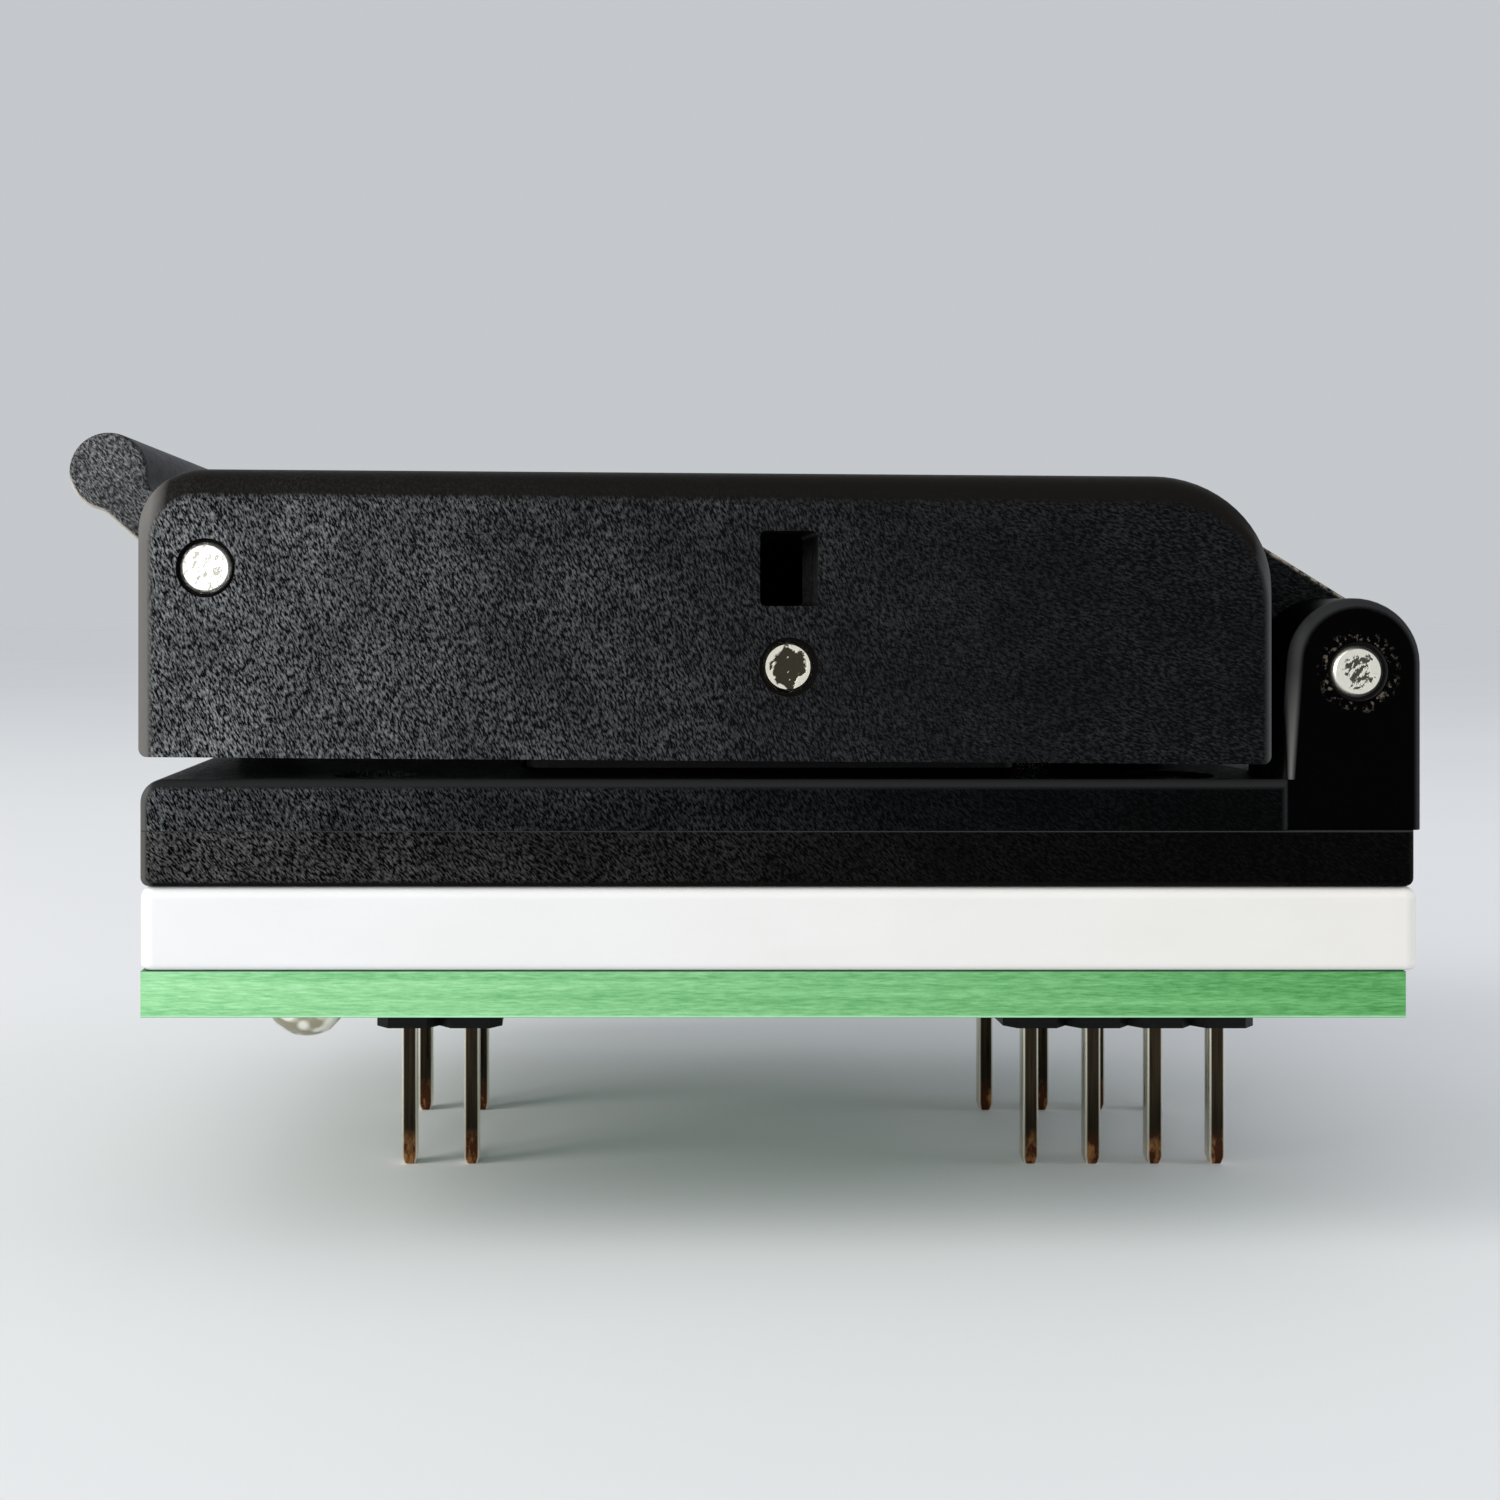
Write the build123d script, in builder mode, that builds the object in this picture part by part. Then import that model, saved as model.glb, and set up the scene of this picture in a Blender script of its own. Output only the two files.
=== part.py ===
from build123d import *
import math
import os

# A clamshell test socket for a ball-grid chip, on a spacer plate and an adapter board with pin headers.
# Millimetres. The origin is the centre of the pin grid, on the headers' seating face. X runs from the
# latch to the hinge, Y from the front to the rear, and Z up to the lid. The lid is closed and latched.

os.makedirs("parts", exist_ok=True)

# Pin header grid
pitch = 2.54
row_spacing = 7.62
grid_positions = 14
left_count = 2
right_count = 4
header_pin_side = 0.64
header_pin_reach = 5.8
header_pin_tail = 0.8
header_tip_height = 0.35
header_tip_taper = 16.0
strip_height = 2.75
strip_corner = 0.48

# Adapter board and spacer plate
board_thickness = 1.6
board_side_setback = 0.05
board_latch_setback = 0.075
board_hinge_setback = 0.51
board_hole_clearance = 0.08
spacer_thickness = 2.9
spacer_top_round = 0.4
spacer_bottom_round = 0.25
spacer_corner = 0.5
tail_pocket_clearance = 0.7
tail_pocket_room = 0.6

# Socket base, in two mouldings
socket_offset = 2.695
socket_length = 44.33
socket_width = 30.0
lower_height = 1.96
upper_height = 1.75
lower_corner = 0.4
lower_hinge_setback = 0.12
lower_bottom_round = 0.3
upper_corner = 0.25
upper_edge_round = 0.4
upper_latch_round = 0.8

# Hinge
hinge_setback = 2.05
hinge_height = 3.75
shaft_diameter = 1.8
running_clearance = 0.05
shaft_end_chamfer = 0.12
shaft_end_recess = 0.03
shaft_mouth_clearance = 0.13
shaft_mouth_depth = 0.35
post_radius = 2.29
post_rise = 0.26
post_foot = 2.72
post_thickness = 3.15
post_inset = 0.25
post_round = 0.45
wall_end_setback = 4.48
side_clearance = 0.3

# Lid
lid_latch_overhang = 0.03
lid_hinge_gap = 3.1
lid_gap_latch = 0.8
lid_gap_hinge = 0.55
lid_height_latch = 10.05
lid_height_hinge = 10.0
lid_latch_round = 2.1
lid_hinge_round = 3.8
lid_bottom_round = 0.3
lid_edge_round = 1.25
lid_latch_spread = 0.6
lid_hinge_spread = 0.85
lid_round_drop = 1.0
lid_round_lift = 0.02
lid_roof = 1.8
tongue_radius = 2.82
tongue_slope = 31.9
tongue_edge_round = 0.25
window_length = 2.0
window_height = 2.6
window_rise = 3.41
window_corner = 0.2

# Chip and its contacts
chip_offset = 0.325
chip_length = 11.5
chip_width = 13.0
chip_clearance = 0.05
chip_gap = 1.05
contact_pitch = 0.5
contact_count = 14
contact_inner_count = 6
contact_side = 0.3
contact_clearance = 0.02
contact_stand = 0.3
contact_travel = 0.25
plunger_length = 1.15
land_clearance = 0.5
land_rise = 0.6
block_flange = 1.0
block_flange_margin = 1.7
block_stem_margin = 1.2
block_stem_foot = 0.45
block_fit = 0.05

# Floating chip guide
guide_wall = 3.4
guide_rim = 1.0
guide_rim_height = 0.85
guide_lift = 0.45
guide_lip_gap = 0.05
guide_height = 2.75
guide_clearance = 0.2
guide_lead_in = 1.1
guide_notch = 4.4
guide_notch_depth = 1.2
guide_corner = 0.8
guide_spring_inset = 1.35
guide_spring_radius = 0.62
guide_spring_wire = 0.22
guide_spring_turns = 3
guide_pocket_radius = 1.0
guide_pocket_lower = 1.4
guide_pocket_upper = 0.5

# Pressure block and pad in the lid
cross_pin_height = 3.91
cross_pin_recess = 0.3
pad_margin = 0.55
pad_height = 2.2
pad_chamfer = 0.3
block_margin = 1.9
block_height = 3.75
block_chamfer = 0.6
boss_radius = 1.8
boss_clearance = 0.25
cavity_latch_wall = 2.0
cavity_hinge_clearance = 2.79
cavity_side_clearance = 1.0

# Latch
latch_pin_inset = 2.325
latch_pin_height = 7.34
lever_width = 23.4
slot_clearance = 0.2
slot_room = 2.43
hub_radius = 2.1
bar_radius = 1.43
bar_reach = 4.27
bar_rise = 3.61
neck_offset = 1.17
neck_angle = 41.7
neck_drop = 0.72
neck_blend = 0.6
neck_foot_blend = 0.8
lever_edge_round = 0.18
plate_inset = 0.07
plate_thickness = 1.3
plate_drop = 6.5
hook_width = 10.0
hook_thickness = 1.1
hook_depth = 2.5
hook_nose = 0.7
hook_catch_gap = 0.15
hook_side_gap = 0.2
hook_ramp = 0.75
hook_gusset = 0.8
ledge_height = 1.0
ledge_reach = 1.325
hook_room = 0.6
hook_nose_gap = 0.1
hook_swing_room = 3.0

# Springs of the lid and the latch
lid_spring_radius = 1.3
lid_spring_wire = 0.4
lid_spring_pitch = 0.55
lid_spring_turns = 3.75
lid_spring_place = 7.1
lid_spring_slot = 3.2
lid_spring_leg = 3.3
lid_leg_clearance = 0.25
lid_slot_wall = 0.3
latch_spring_radius = 0.85
latch_spring_wire = 0.3
latch_spring_turns = 4
latch_spring_drop = 4.2
latch_pocket_clearance = 0.25
latch_pocket_depth = 1.0

# Fasteners and solder
screw_diameter = 1.4
screw_grip = 1.4
screw_head_diameter = 2.7
screw_head_height = 0.8
screw_head_sink = 0.2
screw_head_clearance = 0.15
screw_slot_width = 0.35
screw_slot_depth = 0.4
screw_hole_clearance = 0.1
screw_end_inset = 7.965
screw_side_inset = 2.1
stake_diameter = 1.2
stake_end_inset = 5.55
stake_side_inset = 2.0
stake_grip = 1.2
stake_end = 0.7
stake_clearance = 0.05
solder_radius = 1.45
solder_height = 1.05

# Places worked out from the sizes above
socket_x = -socket_offset
grid_middle = (grid_positions - 1) / 2
board_bottom = strip_height
board_top = board_bottom + board_thickness
spacer_top = board_top + spacer_thickness
seam_z = spacer_top + lower_height
base_top = seam_z + upper_height
latch_end = -socket_length / 2
hinge_end = socket_length / 2
side_y = socket_width / 2
screw_x = hinge_end - screw_end_inset
screw_y = side_y - screw_side_inset
stake_x = hinge_end - stake_end_inset
stake_y = side_y - stake_side_inset
shaft_radius = shaft_diameter / 2
bore_radius = shaft_radius + running_clearance
mouth_radius = shaft_radius + shaft_mouth_clearance
tail_top = board_top + header_pin_tail

hinge_x = hinge_end - hinge_setback
hinge_z = base_top + hinge_height
post_face = side_y - post_inset
post_inner = post_face - post_thickness
tongue_half = post_inner - side_clearance
wall_end_x = hinge_end - wall_end_setback

lid_latch_x = latch_end - lid_latch_overhang
lid_hinge_x = hinge_x - lid_hinge_gap
lid_bottom_latch = base_top + lid_gap_latch
lid_bottom_hinge = base_top + lid_gap_hinge
lid_top_latch = lid_bottom_latch + lid_height_latch
lid_top_hinge = lid_bottom_hinge + lid_height_hinge
lid_top = max(lid_top_latch, lid_top_hinge)
cavity_roof = min(lid_top_latch, lid_top_hinge) - lid_roof

contact_plane = seam_z + land_rise
contact_field = (contact_count - 1) * contact_pitch
plunger_top = contact_plane + contact_stand
plunger_bottom = plunger_top - plunger_length
barrel_top = plunger_bottom - contact_travel
pocket_length = chip_length + 2 * chip_clearance
pocket_width = chip_width + 2 * chip_clearance
land_length = pocket_length - 2 * land_clearance
land_width = pocket_width - 2 * land_clearance
flange_length = land_length + 2 * block_flange_margin
flange_width = land_width + 2 * block_flange_margin
stem_side = contact_field + 2 * block_stem_margin
stem_bottom = board_top + block_stem_foot

guide_length = pocket_length + 2 * guide_wall
guide_width = pocket_width + 2 * guide_wall
guide_rim_length = guide_length + 2 * guide_rim
guide_rim_width = guide_width + 2 * guide_rim
guide_bottom = seam_z + guide_lift
guide_well = guide_lift + guide_rim_height + guide_lip_gap
guide_spring_bottom = seam_z - guide_pocket_lower
guide_spring_top = guide_bottom + guide_pocket_upper

cross_pin_z = base_top + cross_pin_height
pad_bottom = contact_plane + chip_gap
pad_top = pad_bottom + pad_height
pad_length = pocket_length - 2 * pad_margin
pad_width = pocket_width - 2 * pad_margin
cavity_hinge_x = chip_offset + guide_length / 2 + cavity_hinge_clearance
cavity_half = guide_width / 2 + cavity_side_clearance

latch_x = latch_end + latch_pin_inset
latch_z = base_top + latch_pin_height
lever_half = lever_width / 2
slot_half = lever_half + slot_clearance
slot_wall_x = latch_x + slot_room
cavity_latch_x = slot_wall_x + cavity_latch_wall
bar_x = latch_x - bar_reach
bar_z = latch_z + bar_rise
plate_x = latch_x - hub_radius + plate_inset
plate_back_x = plate_x + plate_thickness
plate_bottom = latch_z - plate_drop
ledge_x = latch_end + ledge_reach
ledge_bottom = base_top - ledge_height
hook_front_x = ledge_x + hook_side_gap
hook_back_x = hook_front_x + hook_thickness
hook_bottom = base_top - hook_depth
hook_top = ledge_bottom - hook_catch_gap
nose_x = hook_front_x - hook_nose
hook_room_x = nose_x - hook_nose_gap
hook_room_back = hook_back_x + hook_swing_room
hook_room_floor = hook_bottom - hook_room
hook_room_width = hook_width + 2 * hook_room
latch_spring_z = latch_z - latch_spring_drop
latch_spring_end = slot_wall_x + latch_pocket_depth
latch_pocket_radius = latch_spring_radius + latch_spring_wire / 2 + latch_pocket_clearance

from_left = (Align.MIN, Align.CENTER)


def level(height):
    """Level plane at a height, centred on the socket."""
    return Plane(origin=(socket_x, 0, height))


def side(depth):
    """Upright plane at a depth, seen from the front: X from the socket's centre, and height."""
    return Plane(origin=(socket_x, depth, 0), x_dir=(1, 0, 0), z_dir=(0, -1, 0))


def grid_x(position):
    """Place of a position of the pin grid along its row."""
    return (position - grid_middle) * pitch


def tangent_point(center, radius, point):
    """Where a line from a point touches a circle, clockwise of the point as the circle's centre sees it."""
    across = point[0] - center[0]
    up = point[1] - center[1]
    swing = math.acos(radius / math.hypot(across, up))
    angle = math.atan2(up, across) - swing
    return (center[0] + radius * math.cos(angle), center[1] + radius * math.sin(angle))


def corner(sketch, x, y):
    """The vertex of a sketch that is nearest to a place."""
    return sketch.vertices().sort_by_distance((x, y))[0]


def on_depths(shape, depth):
    """Edges that lie flat in the two upright planes at plus and minus a depth."""
    tolerance = 0.001
    return shape.edges().filter_by(
        lambda edge: abs(abs(edge.center().Y) - depth) < tolerance and edge.bounding_box().size.Y < tolerance
    )


def save(solid, name):
    """Label a finished piece and write it."""
    solid.label = name
    export_step(solid, f"parts/{name}.step")


def contact_places():
    """Places of the contacts: the outer ring of the chip's ball grid, and an inner ring."""
    outer_ring = (contact_count - 1) / 2
    inner_ring = (contact_inner_count - 1) / 2
    places = []
    for column in range(contact_count):
        for row in range(contact_count):
            ring = max(abs(column - outer_ring), abs(row - outer_ring))
            if ring in (outer_ring, inner_ring):
                x = chip_offset + (column - outer_ring) * contact_pitch
                places.append((x, (row - outer_ring) * contact_pitch))
    return places


def lid_block(half_width, latch_spread, hinge_spread, drop, lift):
    """Block with the lid's outline, longer by a spread at each end, deeper by drop and taller by lift."""
    low_x = lid_latch_x - latch_spread
    high_x = lid_hinge_x + hinge_spread
    with BuildPart() as block:
        with BuildSketch(side(half_width)) as outline:
            Polygon(
                (low_x, lid_bottom_latch - drop),
                (high_x, lid_bottom_hinge - drop),
                (high_x, lid_top_hinge + lift),
                (low_x, lid_top_latch + lift),
                align=None,
            )
            fillet(corner(outline, high_x, lid_top_hinge + lift), lid_hinge_round + hinge_spread)
            fillet(corner(outline, low_x, lid_top_latch + lift), lid_latch_round + latch_spread)
        extrude(amount=2 * half_width)
    return block


strips = {
    "front_left": (0, left_count, -row_spacing / 2),
    "front_right": (grid_positions - right_count, right_count, -row_spacing / 2),
    "rear_left": (0, left_count, row_spacing / 2),
    "rear_right": (grid_positions - right_count, right_count, row_spacing / 2),
}
pin_places = {
    name: [(grid_x(first + step), row_y) for step in range(count)]
    for name, (first, count, row_y) in strips.items()
}
all_pins = [place for places in pin_places.values() for place in places]
stakes = [(-stake_x, -stake_y), (stake_x, stake_y)]
screws = [(x, y) for x in (-screw_x, screw_x) for y in (-screw_y, screw_y)]
guide_spring_x = guide_rim_length / 2 - guide_spring_inset
guide_spring_y = guide_rim_width / 2 - guide_spring_inset
guide_springs = [
    (chip_offset + x, y)
    for x in (-guide_spring_x, guide_spring_x)
    for y in (-guide_spring_y, guide_spring_y)
]
contacts = contact_places()

# Header strips: square blocks in a row with bevelled corners, which leave a notch between two blocks
with BuildSketch() as block_outline:
    Rectangle(pitch, pitch)
    chamfer(block_outline.vertices(), strip_corner)

for name, places in pin_places.items():
    with BuildPart() as strip:
        with BuildSketch(Plane.XY):
            with Locations(*places):
                add(block_outline.sketch)
                Rectangle(header_pin_side, header_pin_side, mode=Mode.SUBTRACT)
        extrude(amount=strip_height)
    save(strip.part, f"header_strip_{name}")

# Header pins: square wire with a tapered tip
for name, places in pin_places.items():
    with BuildPart() as header_pins:
        with BuildSketch(Plane.XY.offset(header_tip_height - header_pin_reach)) as wire_section:
            with Locations(*places):
                Rectangle(header_pin_side, header_pin_side)
        extrude(amount=header_pin_reach - header_tip_height + tail_top)
        extrude(wire_section.sketch, amount=-header_tip_height, taper=header_tip_taper)
    save(header_pins.part, f"header_pins_{name}")

# Adapter board, a little short of the socket all round
board_length = socket_length - board_latch_setback - board_hinge_setback
board_width = socket_width - 2 * board_side_setback
with BuildPart() as circuit_board:
    with BuildSketch(level(board_bottom)):
        with Locations((latch_end + board_latch_setback, 0)):
            Rectangle(board_length, board_width, align=from_left)
        with Locations(*stakes):
            Circle(stake_diameter / 2 + stake_clearance, mode=Mode.SUBTRACT)
    extrude(amount=board_thickness)
    with BuildSketch(Plane.XY.offset(board_bottom)):
        with Locations(*all_pins):
            Circle(header_pin_side / math.sqrt(2) + board_hole_clearance)
    extrude(amount=board_thickness, mode=Mode.SUBTRACT)
save(circuit_board.part, "circuit_board")

# Spacer plate, with a window for the contacts and pockets over the header pins' tails
tail_pocket_side = header_pin_side + 2 * tail_pocket_clearance
with BuildPart() as spacer_plate:
    with BuildSketch(level(board_top)):
        RectangleRounded(socket_length, socket_width, spacer_corner)
    extrude(amount=spacer_thickness)
    fillet(spacer_plate.faces().sort_by(Axis.Z)[-1].edges(), spacer_top_round)
    fillet(spacer_plate.faces().sort_by(Axis.Z)[0].edges(), spacer_bottom_round)
    with BuildSketch(level(board_top)):
        with Locations((chip_offset, 0)):
            Rectangle(stem_side + 2 * block_fit, stem_side + 2 * block_fit)
        with Locations(*stakes):
            Circle(stake_diameter / 2 + stake_clearance)
    extrude(amount=spacer_thickness, mode=Mode.SUBTRACT)
    with BuildSketch(Plane.XY.offset(board_top)):
        for places in pin_places.values():
            strip_middle = (places[0][0] + places[-1][0]) / 2
            strip_length = places[-1][0] - places[0][0]
            with Locations((strip_middle, places[0][1])):
                Rectangle(strip_length + tail_pocket_side, tail_pocket_side)
    extrude(amount=header_pin_tail + tail_pocket_room, mode=Mode.SUBTRACT)
save(spacer_plate.part, "spacer_plate")

# Lower moulding: recess for the contact block, spring pockets, and the room that the hook swings in
lower_length = socket_length - lower_hinge_setback
with BuildPart() as socket_lower:
    with BuildSketch(level(spacer_top)):
        with Locations((latch_end, 0)):
            RectangleRounded(lower_length, socket_width, lower_corner, align=from_left)
    extrude(amount=lower_height)
    fillet(socket_lower.faces().sort_by(Axis.Z)[0].edges(), lower_bottom_round)
    with BuildSketch(level(spacer_top)):
        with Locations((chip_offset, 0)):
            Rectangle(stem_side + 2 * block_fit, stem_side + 2 * block_fit)
    extrude(amount=lower_height, mode=Mode.SUBTRACT)
    with BuildSketch(level(seam_z)):
        with Locations((chip_offset, 0)):
            Rectangle(flange_length + 2 * block_fit, flange_width + 2 * block_fit)
    extrude(amount=-block_flange, mode=Mode.SUBTRACT)
    with BuildSketch(level(seam_z)):
        with Locations((hook_room_x, 0)):
            Rectangle(hook_room_back - hook_room_x, hook_room_width, align=from_left)
    extrude(amount=hook_room_floor - seam_z, mode=Mode.SUBTRACT)
    with BuildSketch(level(seam_z)):
        with Locations(*guide_springs):
            Circle(guide_pocket_radius)
    extrude(amount=-guide_pocket_lower, mode=Mode.SUBTRACT)
    with BuildSketch(level(seam_z)):
        with Locations(*screws):
            Circle(screw_diameter / 2)
    extrude(amount=-screw_grip, mode=Mode.SUBTRACT)
    with BuildSketch(level(spacer_top)):
        with Locations(*stakes):
            Circle(stake_diameter / 2)
    extrude(amount=stake_grip, mode=Mode.SUBTRACT)
save(socket_lower.part, "socket_lower")

# Upper moulding: plate with the guide's well and the latch's ledge, and the two hinge posts
post_end = hinge_x + post_radius
post_center = (hinge_x, hinge_z + post_rise)
post_latch_foot = (hinge_x - post_foot, seam_z)
post_hinge_foot = (post_end, seam_z)
post_latch_touch = tangent_point(post_center, post_radius, post_latch_foot)
post_hinge_touch = (post_end, post_center[1])
post_crown = (post_center[0], post_center[1] + post_radius)
screw_seat = screw_head_height + screw_head_sink
with BuildPart() as socket_upper:
    with BuildSketch(level(seam_z)):
        with Locations((latch_end, 0)):
            Rectangle(wall_end_x - latch_end, socket_width, align=from_left)
    extrude(amount=upper_height)
    latch_edge = socket_upper.edges().filter_by(Axis.Y).sort_by(Axis.X)[:2].sort_by(Axis.Z)[-1]
    fillet(latch_edge, upper_latch_round)
    plate_edges = on_depths(socket_upper, side_y)
    fillet(plate_edges.filter_by(lambda edge: edge.center().Z > seam_z + upper_edge_round), upper_edge_round)
    with BuildSketch(level(seam_z)):
        with Locations((latch_end, 0)):
            RectangleRounded(wall_end_x - latch_end, socket_width, upper_corner, align=from_left)
    extrude(amount=upper_height, mode=Mode.INTERSECT)
    with BuildSketch(level(seam_z)):
        with Locations((hinge_x - post_foot, 0)):
            Rectangle(post_end - hinge_x + post_foot, 2 * post_face, align=from_left)
    extrude(amount=upper_height)
    for depth in (-post_inner, post_face):
        with BuildSketch(side(depth)):
            with BuildLine():
                Line(post_latch_foot, post_latch_touch)
                ThreePointArc(post_latch_touch, post_crown, post_hinge_touch)
                Line(post_hinge_touch, post_hinge_foot)
                Line(post_hinge_foot, post_latch_foot)
            make_face()
        extrude(amount=post_thickness)
    fillet(on_depths(socket_upper, post_face).filter_by(lambda edge: edge.center().Z > base_top), post_round)
    with BuildSketch(side(post_face)):
        with Locations((hinge_x, hinge_z)):
            Circle(shaft_radius)
    extrude(amount=2 * post_face, mode=Mode.SUBTRACT)
    for depth in (post_face, shaft_mouth_depth - post_face):
        with BuildSketch(side(depth)):
            with Locations((hinge_x, hinge_z)):
                Circle(mouth_radius)
        extrude(amount=shaft_mouth_depth, mode=Mode.SUBTRACT)
    with BuildSketch(level(seam_z)):
        with Locations((chip_offset, 0)):
            Rectangle(guide_rim_length + 2 * guide_clearance, guide_rim_width + 2 * guide_clearance)
    extrude(amount=guide_well, mode=Mode.SUBTRACT)
    with BuildSketch(level(seam_z)):
        with Locations((chip_offset, 0)):
            Rectangle(guide_length + 2 * guide_clearance, guide_width + 2 * guide_clearance)
        with Locations((ledge_x, 0)):
            Rectangle(hook_room_back - ledge_x, hook_room_width, align=from_left)
        with Locations(*screws):
            Circle(screw_diameter / 2 + screw_hole_clearance)
    extrude(amount=upper_height, mode=Mode.SUBTRACT)
    with BuildSketch(level(seam_z)):
        with Locations((hook_room_x, 0)):
            Rectangle(ledge_x - hook_room_x, hook_room_width, align=from_left)
    extrude(amount=upper_height - ledge_height, mode=Mode.SUBTRACT)
    with BuildSketch(level(base_top)):
        with Locations(*screws):
            Circle(screw_head_diameter / 2 + screw_head_clearance)
    extrude(amount=-screw_seat, mode=Mode.SUBTRACT)
save(socket_upper.part, "socket_upper")

# Contact block: a flange in the lower moulding, a land under the chip, a stem down through the spacer
with BuildPart() as contact_block:
    with BuildSketch(level(stem_bottom)):
        with Locations((chip_offset, 0)):
            Rectangle(stem_side, stem_side)
    extrude(amount=seam_z - stem_bottom)
    with BuildSketch(level(seam_z - block_flange)):
        with Locations((chip_offset, 0)):
            Rectangle(flange_length, flange_width)
    extrude(amount=block_flange)
    with BuildSketch(level(seam_z)):
        with Locations((chip_offset, 0)):
            Rectangle(land_length, land_width)
    extrude(amount=land_rise)
    with BuildSketch(level(stem_bottom)):
        with Locations(*contacts):
            Rectangle(contact_side + 2 * contact_clearance, contact_side + 2 * contact_clearance)
    extrude(amount=contact_plane - stem_bottom, mode=Mode.SUBTRACT)
save(contact_block.part, "contact_block")

# Spring contacts: a barrel that stands on the board and a plunger above it for each ball
for name, low, high in (
    ("contact_barrels", board_top, barrel_top),
    ("contact_plungers", plunger_bottom, plunger_top),
):
    with BuildPart() as contact_row:
        with BuildSketch(level(low)):
            with Locations(*contacts):
                Rectangle(contact_side, contact_side)
        extrude(amount=high - low)
    save(contact_row.part, name)

# Chip guide: a frame that floats on four springs, with a pocket for the chip and a sloped lead-in
with BuildPart() as chip_guide:
    with BuildSketch(level(guide_bottom)):
        with Locations((chip_offset, 0)):
            RectangleRounded(guide_length, guide_width, guide_corner)
    extrude(amount=guide_height)
    with BuildSketch(level(guide_bottom)):
        with Locations((chip_offset, 0)):
            Rectangle(guide_rim_length, guide_rim_width)
    extrude(amount=guide_rim_height)
    with BuildSketch(level(guide_bottom)):
        with Locations((chip_offset, 0)):
            Rectangle(pocket_length, pocket_width)
    extrude(amount=guide_height, mode=Mode.SUBTRACT)
    pocket_rim = chip_guide.faces().sort_by(Axis.Z)[-1].inner_wires()[0].edges()
    chamfer(pocket_rim, guide_lead_in)
    with BuildSketch(level(guide_bottom + guide_height)):
        with Locations((chip_offset, 0)):
            Rectangle(guide_notch, guide_width)
            Rectangle(guide_length, guide_notch)
    extrude(amount=-guide_notch_depth, mode=Mode.SUBTRACT)
    with BuildSketch(level(guide_bottom)):
        with Locations(*guide_springs):
            Circle(guide_pocket_radius)
    extrude(amount=guide_pocket_upper, mode=Mode.SUBTRACT)
save(chip_guide.part, "chip_guide")

# Springs under the guide, of wire with a square section
guide_coil_height = guide_spring_top - guide_spring_bottom - guide_spring_wire
with BuildPart() as guide_coils:
    for x, y in guide_springs:
        coil_foot = Plane(origin=(socket_x + x, y, guide_spring_bottom + guide_spring_wire / 2))
        with BuildLine(coil_foot) as coil:
            Helix(
                pitch=guide_coil_height / guide_spring_turns,
                height=guide_coil_height,
                radius=guide_spring_radius,
            )
        with BuildSketch(Plane(origin=coil.line @ 0, z_dir=coil.line % 0)):
            Rectangle(guide_spring_wire, guide_spring_wire)
        sweep(path=coil.line, is_frenet=True)
save(guide_coils.part, "guide_springs")

# Screws that hold the two mouldings together, with a slotted head
with BuildPart() as base_screws:
    screw_head_foot = base_top - screw_seat
    with BuildSketch(level(seam_z - screw_grip)):
        with Locations(*screws):
            Circle(screw_diameter / 2)
    extrude(amount=screw_head_foot - seam_z + screw_grip)
    with BuildSketch(level(screw_head_foot)):
        with Locations(*screws):
            Circle(screw_head_diameter / 2)
    extrude(amount=screw_head_height)
    with BuildSketch(level(screw_head_foot + screw_head_height)):
        with Locations(*screws):
            Rectangle(screw_head_diameter, screw_slot_width)
    extrude(amount=-screw_slot_depth, mode=Mode.SUBTRACT)
save(base_screws.part, "base_screws")

# Stakes of the socket, through spacer and board, and the solder that holds them under the board
with BuildPart() as fixing_stakes:
    with BuildSketch(level(board_bottom - stake_end)):
        with Locations(*stakes):
            Circle(stake_diameter / 2)
    extrude(amount=spacer_top + stake_grip - board_bottom + stake_end)
save(fixing_stakes.part, "fixing_stakes")

solder_sphere = (solder_radius**2 + solder_height**2) / (2 * solder_height)
with BuildPart() as solder_joints:
    with Locations(*[(socket_x + x, y, board_bottom - solder_height + solder_sphere) for x, y in stakes]):
        Sphere(solder_sphere)
    split(bisect_by=Plane.XY.offset(board_bottom), keep=Keep.BOTTOM)
    with BuildSketch(level(board_bottom)):
        with Locations(*stakes):
            Circle(stake_diameter / 2)
    extrude(amount=-stake_end, mode=Mode.SUBTRACT)
save(solder_joints.part, "solder_joints")

# Shafts of the hinge, the latch and the pressure block
for name, x, z, half_length in (
    ("hinge_pin", hinge_x, hinge_z, post_face - shaft_end_recess),
    ("latch_pin", latch_x, latch_z, side_y - shaft_end_recess),
    ("lid_cross_pin", chip_offset, cross_pin_z, side_y - cross_pin_recess),
):
    with BuildPart() as shaft:
        with BuildSketch(side(half_length)):
            with Locations((x, z)):
                Circle(shaft_radius)
        extrude(amount=2 * half_length)
        chamfer(shaft.edges().filter_by(GeomType.CIRCLE), shaft_end_chamfer)
    save(shaft.part, name)

# Outside of the lid: a block with its outline, cut to one whose rounded rim narrows towards the ends
lid_body = lid_block(side_y + lid_edge_round, 0, 0, 0, 0)
with lid_body:
    fillet(lid_body.edges().filter_by(Axis.Y).sort_by(Axis.Z)[:2], lid_bottom_round)
lid_round = lid_block(side_y, lid_latch_spread, lid_hinge_spread, lid_round_drop, lid_round_lift)
with lid_round:
    round_rim = on_depths(lid_round, side_y)
    fillet(round_rim.filter_by(lambda edge: edge.center().Z > lid_bottom_latch), lid_edge_round)

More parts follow.
